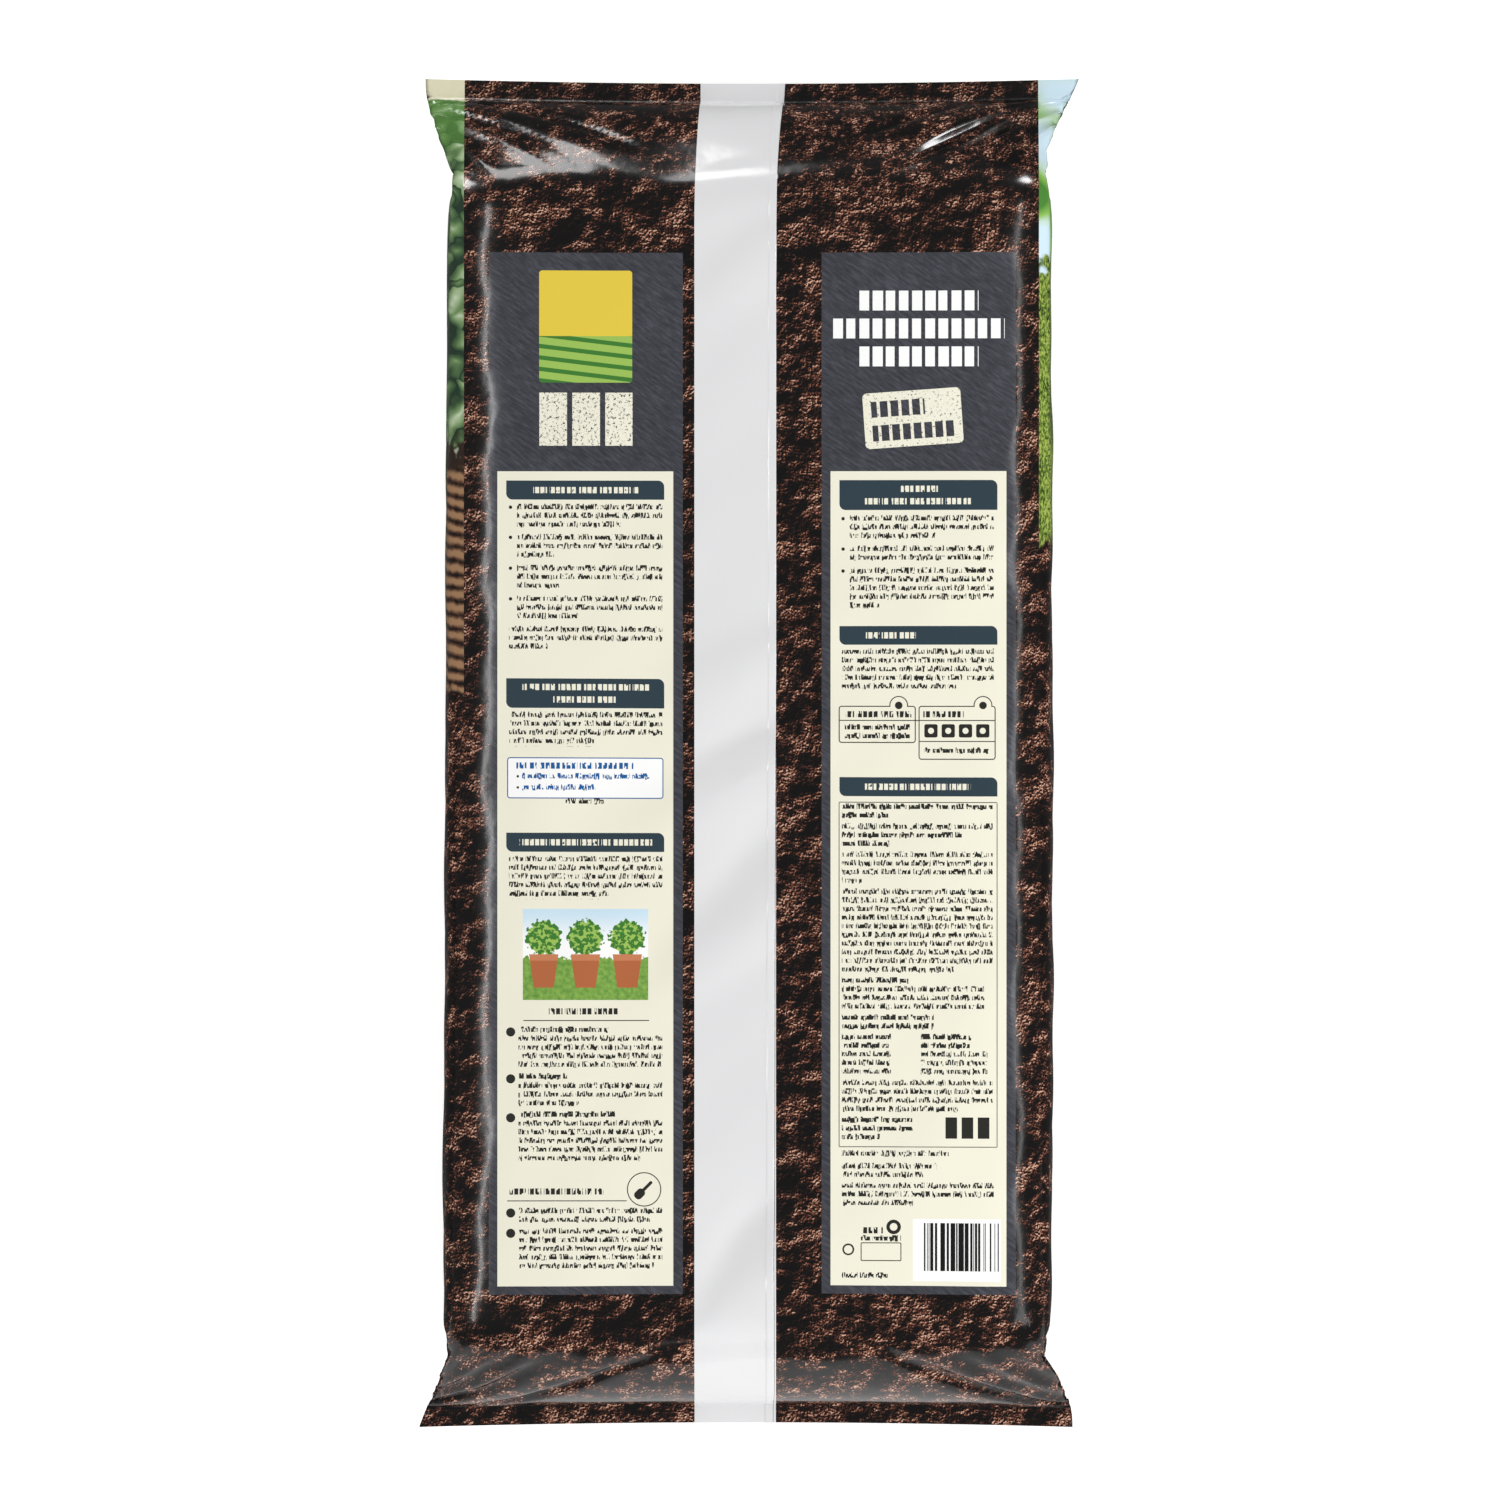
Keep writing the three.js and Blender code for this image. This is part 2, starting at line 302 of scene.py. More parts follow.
# Soft folds over the back, in millimetres and degrees: middle x and y as seen from above,
# bearing, length, width and depth, which is negative for a ridge
FOLDS = [
    (-8, 374, 6, 60, 12, 1.6),
    (-8, 352, 18, 50, 18, -2.0),
    (0, 305, 36, 40, 16, -4.4),
    (-4, 52, 28, 50, 17, -5.0),
    (-6, 4, 24, 50, 13, 4.2),
    (-6, -18, 30, 50, 15, -7.0),
    (-2, -70, 55, 45, 16, 4.2),
    (-4, -112, 36, 50, 17, -6.6),
    (-4, -305, 55, 50, 14, 4.6),
    (4, -334, 45, 40, 18, -3.2),
    (-6, -372, 4, 70, 7, 3.6),
]


def lumpy_form(grid):
    """The plain form with soft lumps on its body and a few soft folds over its back."""
    form = plain_form(grid)
    lumps = uneven(grid, np.random.default_rng(SEED + 2), shortest=0.06, longest=0.20) - 1
    rise = UNEVENNESS * lumps * fullness(grid)[:, None]
    x, y = form[..., 0] * MM, form[..., 1] * MM
    for middle_x, middle_y, bearing, length, width, depth in FOLDS:
        turn = math.radians(bearing)
        along = (x - middle_x) * math.cos(turn) + (y - middle_y) * math.sin(turn)
        across = (y - middle_y) * math.cos(turn) - (x - middle_x) * math.sin(turn)
        on_back = form[..., 2] > GUSSET_HEIGHT + FOLD_CLEARANCE
        rise -= on_back * depth / MM * np.exp(-((along / length) ** 2) - (across / width) ** 2)
    return form + outward(form) * rise[..., None]


def outward(points):
    """Unit normals of a grid of points, pointing out of the bag."""
    across = np.roll(points, -1, axis=1) - np.roll(points, 1, axis=1)
    along = np.gradient(points, axis=0)
    normal = np.cross(across, along)
    return normal / np.maximum(1e-12, np.linalg.norm(normal, axis=2, keepdims=True))


def uneven(grid, random, shortest, longest, waves=8):
    """A smooth field over the film, about -1 to 1, that is the same after each run."""
    total = np.zeros((grid.rows, grid.columns))
    for _ in range(waves):
        length = random.uniform(shortest, longest)
        turns = round(PERIMETER / random.uniform(shortest, longest))
        lean = random.choice([-1, 1])
        phase = random.uniform(0, 2 * math.pi)
        across = lean * turns * grid.u[None, :] / PERIMETER
        total += np.sin(2 * math.pi * (grid.v[:, None] / length + across) + phase)
    return total / math.sqrt(waves)


def relax(grid, start, form, contents, steps):
    """Lets the film find its own folds over the contents, near its plain form.

    Each step pushes the film out a little, then takes back most of what that stretched or
    crushed. The welds stay where they are, the film stays out of the contents and above the
    floor, and no point moves further than a limit from the plain form.
    """
    shape = start.shape
    points = start.reshape(-1, 3).copy()
    form_normals = outward(form).reshape(-1, 3)
    tautness = slack_left(grid, form)
    form = form.reshape(-1, 3)
    contents = contents.ravel()
    full = np.repeat(fullness(grid), grid.columns)
    beside_weld = (FILM_LENGTH / 2 - FILM_LENGTH / COARSE_ROWS - np.abs(grid.v)) / WELD_HOLD
    loose = np.repeat(np.clip(beside_weld, LEAST_LOOSE, 1), grid.columns)
    room, swell = mix(END_ROOM, BODY_ROOM, full) * loose, mix(END_ROOM, BODY_SWELL, full) * loose
    free = np.ones((grid.rows, grid.columns))
    free[: grid.band + 1] = 0
    free[-grid.band - 1 :] = 0
    free = free.ravel()
    fixed = free == 0
    points[fixed] = form[fixed]

    pairs = []
    for a, b, if_long, if_short in (*grid.bend_pairs(), *grid.stretch_pairs()):
        a, b = a.ravel(), b.ravel()
        shared = free[a] + free[b]
        moving = shared > 0
        a, b, shared = a[moving], b[moving], shared[moving]
        laid = np.linalg.norm(form[b] - form[a], axis=1)
        rest = mix(laid, grid.rest_length(a, b, tautness), np.minimum(loose[a], loose[b]))
        pairs.append((a, b, rest, free[a] / shared, free[b] / shared, if_long, if_short))
    rows = grid.numbers[grid.band + 1 : -grid.band - 1]
    layers = [(rows[:, a], rows[:, b], gap[None, :]) for a, b, gap in grid.layers()]

    speed = np.zeros_like(points)
    for _ in range(steps):
        before = points.copy()
        speed = (speed * KEPT_SPEED + outward(points.reshape(shape)).reshape(-1, 3) * PUFF) * free[:, None]
        points += speed
        for a, b, rest, share_a, share_b, if_long, if_short in pairs:
            gap = points[b] - points[a]
            length = np.maximum(1e-9, np.sqrt(np.einsum("ij,ij->i", gap, gap)))
            excess = 1 - rest / length
            gap *= (excess * np.where(excess > 0, if_long, if_short))[:, None]
            points[a] += gap * share_a[:, None]
            points[b] -= gap * share_b[:, None]
        moved = points - form
        lift = np.einsum("ij,ij->i", moved, form_normals)
        moved += form_normals * (np.clip(lift, contents, swell) - lift)[:, None]
        moved /= np.maximum(1, np.linalg.norm(moved, axis=1) / room)[:, None]
        points = form + moved
        for over, under, gap in layers:
            short = np.maximum(0, points[under, 2] + gap - points[over, 2]) / 2
            points[over, 2] += short
            points[under, 2] -= short
        points[:, 2] = np.maximum(0, points[:, 2])
        points[fixed] = form[fixed]
        speed = points - before
    return points.reshape(shape)


def refine(points):
    """Twice as many rows and columns, on smooth curves through the points given."""
    padded = np.concatenate([2 * points[:1] - points[1:2], points, 2 * points[-1:] - points[-2:-1]])
    rows = np.empty((2 * len(points) - 1, *points.shape[1:]))
    rows[::2] = points
    rows[1::2] = (9 * (padded[1:-2] + padded[2:-1]) - padded[:-3] - padded[3:]) / 16
    fine = np.empty((rows.shape[0], 2 * rows.shape[1], 3))
    fine[:, ::2] = rows
    near = rows + np.roll(rows, -1, axis=1)
    far = np.roll(rows, 1, axis=1) + np.roll(rows, -2, axis=1)
    fine[:, 1::2] = (9 * near - far) / 16
    return fine


def contents_under(grid, random):
    """How far inside the plain form the contents' surface lies, as negative heights."""
    return np.minimum(0, LUMP * uneven(grid, random, shortest=0.05, longest=0.16) - HOLLOW)


def fullness(grid):
    """For each row, 0 at the welds and 1 along the full body."""
    to_end = np.minimum(1, (FILM_LENGTH / 2 - np.abs(grid.v)) / END_REACH)
    return np.sin(to_end * math.pi / 2) ** 2


def slack_left(grid, form):
    """The share of the film's girth that each row goes round: the full body takes up its slack."""
    around = np.linalg.norm(np.roll(form, -1, axis=1) - form, axis=2).sum(axis=1)
    return mix(1, np.minimum(1, around / PERIMETER), fullness(grid))


def simulated_film():
    """The relaxed film and its grid."""
    coarse, fine = Grid(1), Grid(2)
    coarse_form, fine_form = lumpy_form(coarse), lumpy_form(fine)
    nudge = NUDGE * uneven(coarse, np.random.default_rng(SEED), shortest=0.03, longest=0.12)
    start = coarse_form + outward(coarse_form) * nudge[..., None]
    hollows = contents_under(coarse, np.random.default_rng(SEED + 1))
    relaxed = relax(coarse, start, coarse_form, hollows, COARSE_STEPS)
    start = fine_form + refine(relaxed) - refine(coarse_form)
    hollows = contents_under(fine, np.random.default_rng(SEED + 1))
    return relax(fine, start, fine_form, hollows, FINE_STEPS), fine


def end_cap(grid, row):
    """Faces that close one welded end: between the back and the front, and inside each ear."""
    n = grid.numbers[row]
    faces = []
    inner, middle = grid.upper - grid.outer, grid.middle
    for side in (1, -1):

        def at(column):
            return n[side * column % grid.columns]

        for crease, step in ((grid.upper, 1), (grid.lower, -1)):
            for k in range(grid.outer):
                offsets = (-k, -k - 1, k + 1, k) if k else (0, -1, 1)
                face = [at(crease + step * offset) for offset in offsets]
                faces.append(face if side * step > 0 else face[::-1])
        half = grid.columns // 2
        for column in range(inner):
            face = [at(column), at(half - column), at(half - column - 1), at(column + 1)]
            if column == inner - 1:
                face.insert(3, at(middle))
            faces.append(face if side > 0 else face[::-1])
    return faces


def print_places(grid):
    """Where the print's map has each column's two sides, and each row.

    On the back the map is the plain form seen from above. Past the creases it goes on along
    the film, to the right and to the left, as far as the middle of the front.
    """
    plan_y = plan_places(grid.v)
    s = {name: value[:, None] for name, value in sections(plan_y).items()}
    sides = []
    for half in (s["right"], s["left"]):
        back = side_form(grid, half, s)[:, : grid.upper + 1, 0]
        past = back[:, -1:] + grid.half_u[None, grid.upper + 1 :] - grid.half_u[grid.upper]
        sides.append(np.concatenate([back, past], axis=1))
    print_x = np.concatenate([sides[0], -sides[1][:, -2::-1]], axis=1) + s["skew"]
    middle = np.interp(0, plan_y, grid.v)
    pace = np.interp([-FRAME_PROBE, FRAME_PROBE], plan_y, grid.v)
    print_y = (grid.v - middle) * 2 * FRAME_PROBE / (pace[1] - pace[0])
    return print_x * PRINT_SHRINK, print_y * PRINT_SHRINK


def film_mesh(points, grid):
    """The bag's closed surface, with the print's map, in metres."""
    n = grid.numbers
    after = np.roll(n, -1, axis=1)
    quads = np.stack([n[:-1], after[:-1], after[1:], n[1:]], axis=2).reshape(-1, 4)
    base_cap, top_cap = end_cap(grid, 0), end_cap(grid, grid.rows - 1)
    faces = quads.tolist() + base_cap + [face[::-1] for face in top_cap]
    mesh = bpy.data.meshes.new(NODE)
    mesh.from_pydata(points.reshape(-1, 3).tolist(), [], faces)

    print_x, print_y = print_places(grid)
    half = grid.columns // 2
    moved = (points - plain_form(grid))[:, :, 0]
    back = grid.upper
    moved[:, back + 1 : half + 1] = moved[:, back : back + 1]
    moved[:, half + 1 : -back] = moved[:, -back : grid.columns - back + 1]
    print_x += np.concatenate([moved, moved[:, :1]], axis=1)
    left, right = print_x[:, :-1].copy(), print_x[:, 1:]
    left[:, half] *= -1
    down = np.broadcast_to(print_y[:-1, None], left[:-1].shape)
    up = np.broadcast_to(print_y[1:, None], left[:-1].shape)
    corners = [left[:-1], down, right[:-1], down, right[1:], up, left[1:], up]
    corners = np.stack(corners, axis=2).reshape(-1, 2)
    cap_corners = [
        (print_x[c // grid.columns, c % grid.columns], print_y[c // grid.columns])
        for face in faces[len(quads) :]
        for c in face
    ]
    uv = mesh.uv_layers.new(name="print")
    uv.data.foreach_set("uv", np.concatenate([corners, cap_corners]).ravel())
    mesh.polygons.foreach_set("use_smooth", [True] * len(mesh.polygons))
    sharp = mesh.attributes.new("sharp_edge", "BOOLEAN", "EDGE")
    ends = set(n[0].tolist()) | set(n[-1].tolist())
    sharp.data.foreach_set("value", [e.vertices[0] in ends and e.vertices[1] in ends for e in mesh.edges])
    mesh.validate()
    return mesh


# The lap seam: places of its foot and top across the strip, and its thickness
SEAM_FOOT, SEAM_TOP, SEAM_THICKNESS = (0.0116, 0.0173), (0.0126, 0.0163), 0.00035


def on_row(field, grid, row, place):
    """What a field over the film holds in one row, at a place round the film from the back's middle."""
    return np.array([np.interp(place, grid.half_u, part) for part in field[row, : len(grid.half_u)].T])


def seam_mesh(points, grid):
    """The thin ribbon of doubled film along the back, with the print's map, in metres."""
    print_x, print_y = print_places(grid)
    normals = outward(points)
    across = [SEAM_FOOT[0], SEAM_TOP[0], SEAM_TOP[1], SEAM_FOOT[1]]
    lifts = [0, SEAM_THICKNESS, SEAM_THICKNESS, 0]
    rings, places = [], []
    for row in range(grid.rows):
        drift = STRIP_DRIFT / MM * np.interp(print_y[row] * MM, STRIP_DRIFT_ENDS, (0, 1))
        for u, lift in zip(across, lifts):
            point = on_row(points, grid, row, u + drift)
            rings.append(point + on_row(normals, grid, row, u + drift) * lift)
            places.append((u + drift, print_y[row]))
    size = len(across)
    faces = [(0, 1, 2, 3)]
    for row in range(grid.rows - 1):
        first = row * size
        for k in range(size):
            after = (k + 1) % size
            faces.append((first + k, first + size + k, first + size + after, first + after))
    last = (grid.rows - 1) * size
    faces.append((last + 3, last + 2, last + 1, last))
    mesh = bpy.data.meshes.new("lap_seam")
    mesh.from_pydata([ring.tolist() for ring in rings], [], faces)
    uv = mesh.uv_layers.new(name="print")
    for loop in mesh.loops:
        uv.data[loop.index].uv = places[loop.vertex_index]
    mesh.validate()
    return mesh


def add_piece(name, mesh, material):
    mesh.materials.append(material)
    piece = bpy.data.objects.new(name, mesh)
    bpy.context.scene.collection.objects.link(piece)
    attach(piece, "root")
    return piece


# The print, in millimetres on the back as it lies, with x to the right and y towards the top weld
PANEL_LEFT, PANEL_RIGHT = -158.8, 51.4  # the left edges of the two text panels
PANEL_TOP = 177.3
PANEL_SIZE = (111.0, 513.0)
SLATE_LEFT, SLATE_RIGHT = -103.0, 107.0  # the middles of the two slate panels
SLATE_HALF_WIDTH = 61.25
SLATE_ENDS = (-341.0, 315.0)
BACK_EDGES = (-180.0, 183.0)  # outside them the print is that of the sides and front
STRIP_EDGES = (-34.5, 17.0)
STRIP_DRIFT, STRIP_DRIFT_ENDS = 3.8, (330.0, 480.0)  # it leans right near the top weld
SCROLL = 600.0  # the right panel's layout follows the left one's, this far down

LINE_PITCH, LEAST_SPACE = 5.45, 0.5
LETTER_PITCH, LARGE_PITCH = 1.85, 3.3
WORD_PITCH, WORD_GAP = 11.5, 1.5
STROKE_STRETCH = (2.1, 0.28)  # how fine the strokes are across a letter, and down a line
ASCENT, DESCENT = 0.95, 0.6  # of tall and deep letters beyond the others
LETTER_HALF, LARGE_HALF = 1.25, 0.7  # half the height of a small letter, and what a large one adds
TALL_SHARE, DEEP_SHARE = 0.4, 0.15  # of the letters
LAYOUT_SCALE = 120.0
PLACE_SCALE, ACROSS_SCALE, SIZE_SCALE = 1000.0, 100.0, 10.0
PLAIN, BOLD, LARGE, LIGHT = 0.3, 0.5, 0.7, 0.9
TABLE_LENGTH = 8
NOTHING = (0, 0, 0, 0)  # what a table holds between its entries

# Lines of print: middle of the first line, lines, left edge, right edge, last line's end, weight
LEFT_LINES = [
    (11.8, 1, 22.7, 88.9, 88.9, LIGHT),
    (22.6, 3, 12.4, 104.1, 77.9, PLAIN),
    (41.6, 3, 12.4, 104.1, 35.7, PLAIN),
    (61.0, 3, 12.4, 104.1, 39.1, PLAIN),
    (80.3, 3, 12.4, 104.1, 50.9, PLAIN),
    (99.5, 3, 7.3, 104.1, 31.7, PLAIN),
    (135.7, 1, 15.8, 95.8, 95.8, LIGHT),
    (143.5, 1, 35.3, 76.3, 76.3, LIGHT),
    (153.4, 4, 7.3, 104.1, 61.9, PLAIN),
    (185.2, 1, 12.0, 86.3, 86.3, LARGE),
    (192.0, 1, 15.6, 95.8, 95.8, PLAIN),
    (199.0, 1, 15.6, 62.9, 62.9, PLAIN),
    (207.8, 1, 42.1, 67.6, 67.6, PLAIN),
    (233.5, 1, 13.9, 97.7, 97.7, LIGHT),
    (244.2, 5, 7.3, 104.1, 70.0, PLAIN),
    (339.9, 1, 32.5, 76.5, 76.5, LARGE),
    (351.6, 1, 13.7, 70.2, 70.2, BOLD),
    (357.2, 4, 13.3, 104.1, 104.1, PLAIN),
    (381.0, 1, 13.7, 44.0, 44.0, BOLD),
    (386.9, 3, 13.3, 104.1, 51.5, PLAIN),
    (405.0, 1, 13.7, 74.3, 74.3, BOLD),
    (410.6, 5, 13.3, 104.1, 90.1, PLAIN),
    (453.3, 1, 7.7, 67.0, 67.0, LARGE),
    (465.7, 2, 13.7, 104.1, 96.4, PLAIN),
    (478.5, 5, 13.7, 104.1, 98.8, PLAIN),
]
RIGHT_LINES = [
    (11.1, 1, 44.4, 67.7, 67.7, LIGHT),
    (18.9, 1, 21.7, 88.5, 88.5, LIGHT),
    (29.8, 3, 12.1, 103.0, 66.1, PLAIN),
    (48.9, 2, 12.1, 103.0, 103.0, PLAIN),
    (62.7, 5, 12.1, 103.0, 30.7, PLAIN),
    (103.3, 1, 22.3, 53.8, 53.8, LIGHT),
    (113.7, 5, 7.1, 103.0, 79.2, PLAIN),
    (153.0, 1, 9.0, 84.0, 84.0, LARGE),
    (161.4, 2, 9.0, 50.0, 50.0, BOLD),
    (176.0, 1, 59.0, 100.0, 100.0, BOLD),
    (198.7, 1, 21.7, 88.5, 88.5, LIGHT),
    (211.4, 2, 7.1, 102.3, 36.4, BOLD),
    (223.8, 1, 7.1, 102.3, 102.3, PLAIN),
    (229.3, 2, 7.1, 82.8, 37.0, BOLD),
    (241.6, 4, 7.1, 102.3, 19.7, PLAIN),
    (264.9, 10, 7.1, 102.3, 77.7, PLAIN),
    (320.8, 1, 7.1, 50.0, 50.0, BOLD),
    (326.3, 3, 7.1, 97.1, 97.1, PLAIN),
    (344.2, 2, 7.1, 65.1, 65.1, BOLD),
    (356.4, 2, 7.1, 88.7, 88.7, BOLD),
    (367.2, 3, 7.1, 99.0, 99.0, PLAIN),
    (385.3, 4, 7.1, 102.3, 80.3, PLAIN),
    (408.5, 3, 7.1, 51.8, 31.1, BOLD),
    (429.8, 1, 7.1, 74.5, 74.5, PLAIN),
    (437.7, 2, 7.1, 67.0, 58.7, PLAIN),
    (450.0, 3, 7.1, 103.0, 52.2, PLAIN),
    (478.1, 1, 19.1, 33.0, 33.0, LARGE),
    (483.3, 1, 19.1, 44.4, 44.4, BOLD),
    (506.9, 1, 7.1, 36.2, 36.2, PLAIN),
]
# Heading bars in scroll order: middle and half height
HEADING_ENDS = (5.6, 105.3)
HEADING_MARGIN = 3.0
HEADING_ROUND = 4.0
HEADINGS = [(11.8, 6.0), (139.6, 9.3), (233.5, 6.0), (615.0, 9.4), (703.3, 5.9), (798.7, 6.0)]
# Dots before the paragraphs, in groups for one lookup each: middle, x and radius
DOT_REACH = 5.0
DOT_GROUPS = [
    [(22.6, 8.3, 1.1), (41.6, 8.3, 1.1), (61.0, 8.3, 1.1), (80.3, 8.3, 1.1)],
    [(192.0, 12.9, 0.8), (199.0, 12.9, 0.8)],
    [(352.9, 8.4, 2.9), (382.4, 8.4, 2.9), (406.9, 8.4, 2.9)],
    [(466.8, 8.4, 2.9), (479.6, 8.4, 2.9)],
    [(629.8, 7.9, 1.1), (648.9, 7.9, 1.1), (662.7, 7.9, 1.1)],
]
# Boxes on the panels: middle x and y, half width, half height, corner radius
WHITE_BOX = (55.5, 192.95, 49.0, 12.65, 1.5)
FIELD_BOX = (55.25, SCROLL + 316.95, 49.85, 108.45, 0.6)
SMALL_BOX = (31.85, SCROLL + 491.6, 12.55, 5.6, 0.6)
# Rules: left, right, top, bottom
RULES = [
    (5.5, 103.9, SCROLL + 156.6, SCROLL + 157.2),
    (55.8, 103.9, SCROLL + 169.8, SCROLL + 170.4),
    (16.4, 95.8, 345.4, 346.0),
    (6.2, 81.6, 458.9, 459.5),
]
# Rings: middle x and y, radius, half the line's width
LINE_HALF, FIELD_LINE_HALF, SMALL_LINE_HALF = 0.33, 0.25, 0.3
RINGS = [
    (39.8, SCROLL + 475.9, 3.5, 1.1),
    (11.2, SCROLL + 490.2, 3.2, 0.55),
    (92.6, 452.0, 10.5, LINE_HALF),
]
# Two speech boxes side by side, each with a round tab on its top edge
SPEECH_FOLD, SPEECH_OFFSET, SPEECH_TOP = 54.65, 25.2, SCROLL + 148.0
SPEECH_HALF_WIDTH, SPEECH_ROUND = 24.0, 1.6
SPEECH_BOTTOM, SPEECH_SECOND_MORE = SCROLL + 170.8, 10.5
TAB_PLACE, TAB_PITCH, TAB_RADIUS, TAB_DOT = (43.0, SCROLL + 147.4), 53.2, 5.6, 2.4
# The round icon's tool: a handle and a blade, each with half sizes and radius, and offsets
ICON_MIDDLE = (92.6, 452.0)
HANDLE, HANDLE_OFFSET = (1.0, 5.0, 0.9), -2.0
BLADE, BLADE_OFFSET = (2.7, 3.6, 2.4), 4.0
# Four small icons in a row, and a mark of three bars
ICON_START, ICON_PITCH, ICON_COUNT = 57.9, 10.9, 4
ICON_ROW, ICON_HALF, ICON_ROUND, ICON_HOLE = SCROLL + 163.4, 4.2, 1.2, 1.9
MARK, MARK_PITCH, MARK_SHARE = (72.5, 101.9, SCROLL + 406.7, SCROLL + 420.1), 10.2, 0.72
# Where the lines of print leave room: between two columns, and between the speech boxes
GAPS = [(38.1, 57.0, SCROLL + 353.0, SCROLL + 382.0), (51.0, 58.5, SCROLL + 148.0, SCROLL + 158.0)]
# The picture: pots with round bushes on a lawn
PICTURE = (16.1, 95.2, 275.4, 332.8)
POTS, HORIZON, CLOUD_END = 3, 309, 300
BUSH_MIDDLE, BUSH_RADIUS = 293.5, 14.5
POT_TOP, POT_RIM_END, POT_BOTTOM, POT_TAPER, POT_REACH = 304, 308, 325, 0.14, 51.8
# The code: its white field, its bars and the width of one module
CODE_FIELD = (52.0, 107.5, SCROLL + 470.8, SCROLL + 510.0)
CODE_BARS = (58.7, 106.2, SCROLL + 473.3, SCROLL + 503.6)
MODULE = 0.495


def shade(code):
    """The linear colour of a six-digit sRGB code."""
    channels = [(code >> shift & 255) / 255 for shift in (16, 8, 0)]
    return (*[c / 12.92 if c <= 0.04045 else ((c + 0.055) / 1.055) ** 2.4 for c in channels], 1)


SOIL_SHADES = [
    (0.0, 0x060505), (0.20, 0x0F0B0A), (0.36, 0x2A1813), (0.54, 0x5D3528), (0.74, 0x986751), (1.0, 0xD9B19A)
]
SLATE_SHADES = [(0.32, 0x34353B), (0.5, 0x404148), (0.68, 0x505159)]
FOLIAGE_SHADES = [
    (0.32, 0x24382A), (0.43, 0x4A6842), (0.53, 0x73905F), (0.61, 0xA0B68E), (0.71, 0xD0DCC6)
]
BOKEH_SHADES = [(0.36, 0x4C8836), (0.46, 0x8FC25A), (0.54, 0xCBE3D4), (0.62, 0xD3EBF7)]
TIMBER_SHADES = [(0.15, 0x1B120D), (0.4, 0x54392A), (0.75, 0x9A7656)]
LAWN_SHADES = [(0.36, 0x1B2C11), (0.5, 0x617C2B), (0.62, 0xA9B958)]
CREAM, WHITE, STRIP_WHITE = 0xF1EEDB, 0xFDFDFC, 0xE5E5E6
CREAM_SHADOW, STRIP_SHADOW, BLURRED_CREAM = 0xDCD8BE, 0xDADADC, 0xEFE8CC
INK, CODE_INK, BAR, BLUE = 0x2A2A26, 0x151515, 0x2F3F49, 0x1B5E9C
BADGE_YELLOW, POT_RED, POT_RIM = 0xE6CB45, 0xB5683F, 0xC98058
BUSH_GREEN, LEAF_GREEN, SKY, LAWN, TIMBER_SHADOW = 0x3F7D32, 0x5E9142, 0xCBE4F2, 0x9DC25A, 0x2E2018


def start_material(name):
    """A new material, the tree that its looks go into, and its main shader's inputs."""
    material = bpy.data.materials.new(name)
    material.use_nodes = True
    return material, material.node_tree, material.node_tree.nodes["Principled BSDF"].inputs


# The functions below add to this tree, which later is that of the floor and then the sky
film_material, tree, film_looks = start_material("printed_film")


def connect(value, socket):
    if isinstance(value, Value):
        tree.links.new(value.socket, socket)
    else:
        socket.default_value = value


def fill(inputs, values):
    """Connects or sets several of a node's inputs by name."""
    for name, value in values.items():
        connect(value, inputs[name])


def add_node(kind, *inputs, **settings):
    """A new node, with its settings and its first inputs."""
    node = tree.nodes.new("ShaderNode" + kind)
    for name, setting in settings.items():
        setattr(node, name, setting)
    for value, socket in zip(inputs, node.inputs):
        connect(value, socket)
    return node


def maths(operation, *inputs):
    return Value(add_node("Math", *inputs, operation=operation).outputs[0])


def sum_method(operation):
    """A method that does an operation of the shader on a value, and on another where it takes two."""
    return lambda value, *other: maths(operation, value, *other)


class Value:
    """An output in the shader, so that sums on it read as sums."""

    def __init__(self, socket):
        self.socket = socket

    def __rsub__(self, other):
        return maths("SUBTRACT", other, self)

    __add__ = __radd__ = sum_method("ADD")
    __sub__ = sum_method("SUBTRACT")
    __mul__ = __rmul__ = sum_method("MULTIPLY")
    __truediv__ = sum_method("DIVIDE")
    __lt__ = sum_method("LESS_THAN")
    __gt__ = sum_method("GREATER_THAN")
    __abs__ = sum_method("ABSOLUTE")


def vector(x, y, z=0.0):
    return Value(add_node("CombineXYZ", x, y, z).outputs[0])


def vector_maths(operation, *inputs):
    node = add_node("VectorMath", *inputs, operation=operation)
    return Value(node.outputs["Value" if operation == "LENGTH" else "Vector"])


def parts(colour):
    return [Value(output) for output in add_node("SeparateXYZ", colour).outputs]


def noise(place, scale, detail=2.0, roughness=0.5, flat=False):
    node = add_node("TexNoise", noise_dimensions="2D" if flat else "3D")
    fill(node.inputs, {"Vector": place, "Scale": scale, "Detail": detail, "Roughness": roughness})
    return Value(node.outputs[0])


def cells(place, scale):
    """On a plane, distance to the middle of the nearest cell, and a value from 0 to 1 for each cell."""
    node = add_node("TexVoronoi", voronoi_dimensions="2D")
    fill(node.inputs, {"Vector": place, "Scale": scale})
    return Value(node.outputs["Distance"]), parts(Value(node.outputs["Color"]))[0]


def cell_values(place):
    """Three values, 0 to 1, that hold all over each whole-numbered cell."""
    node = add_node("TexWhiteNoise", vector_maths("FLOOR", place), noise_dimensions="2D")
    return parts(Value(node.outputs["Color"]))


def ramp(value, stops):
    """Blends through sRGB codes as the value rises."""
    node = add_node("ValToRGB", value)
    elements = node.color_ramp.elements
    for element, (position, code) in zip(elements, (stops[0], stops[-1])):
        element.position, element.color = position, shade(code)
    for position, code in stops[1:-1]:
        elements.new(position).color = shade(code)
    return Value(node.outputs["Color"])


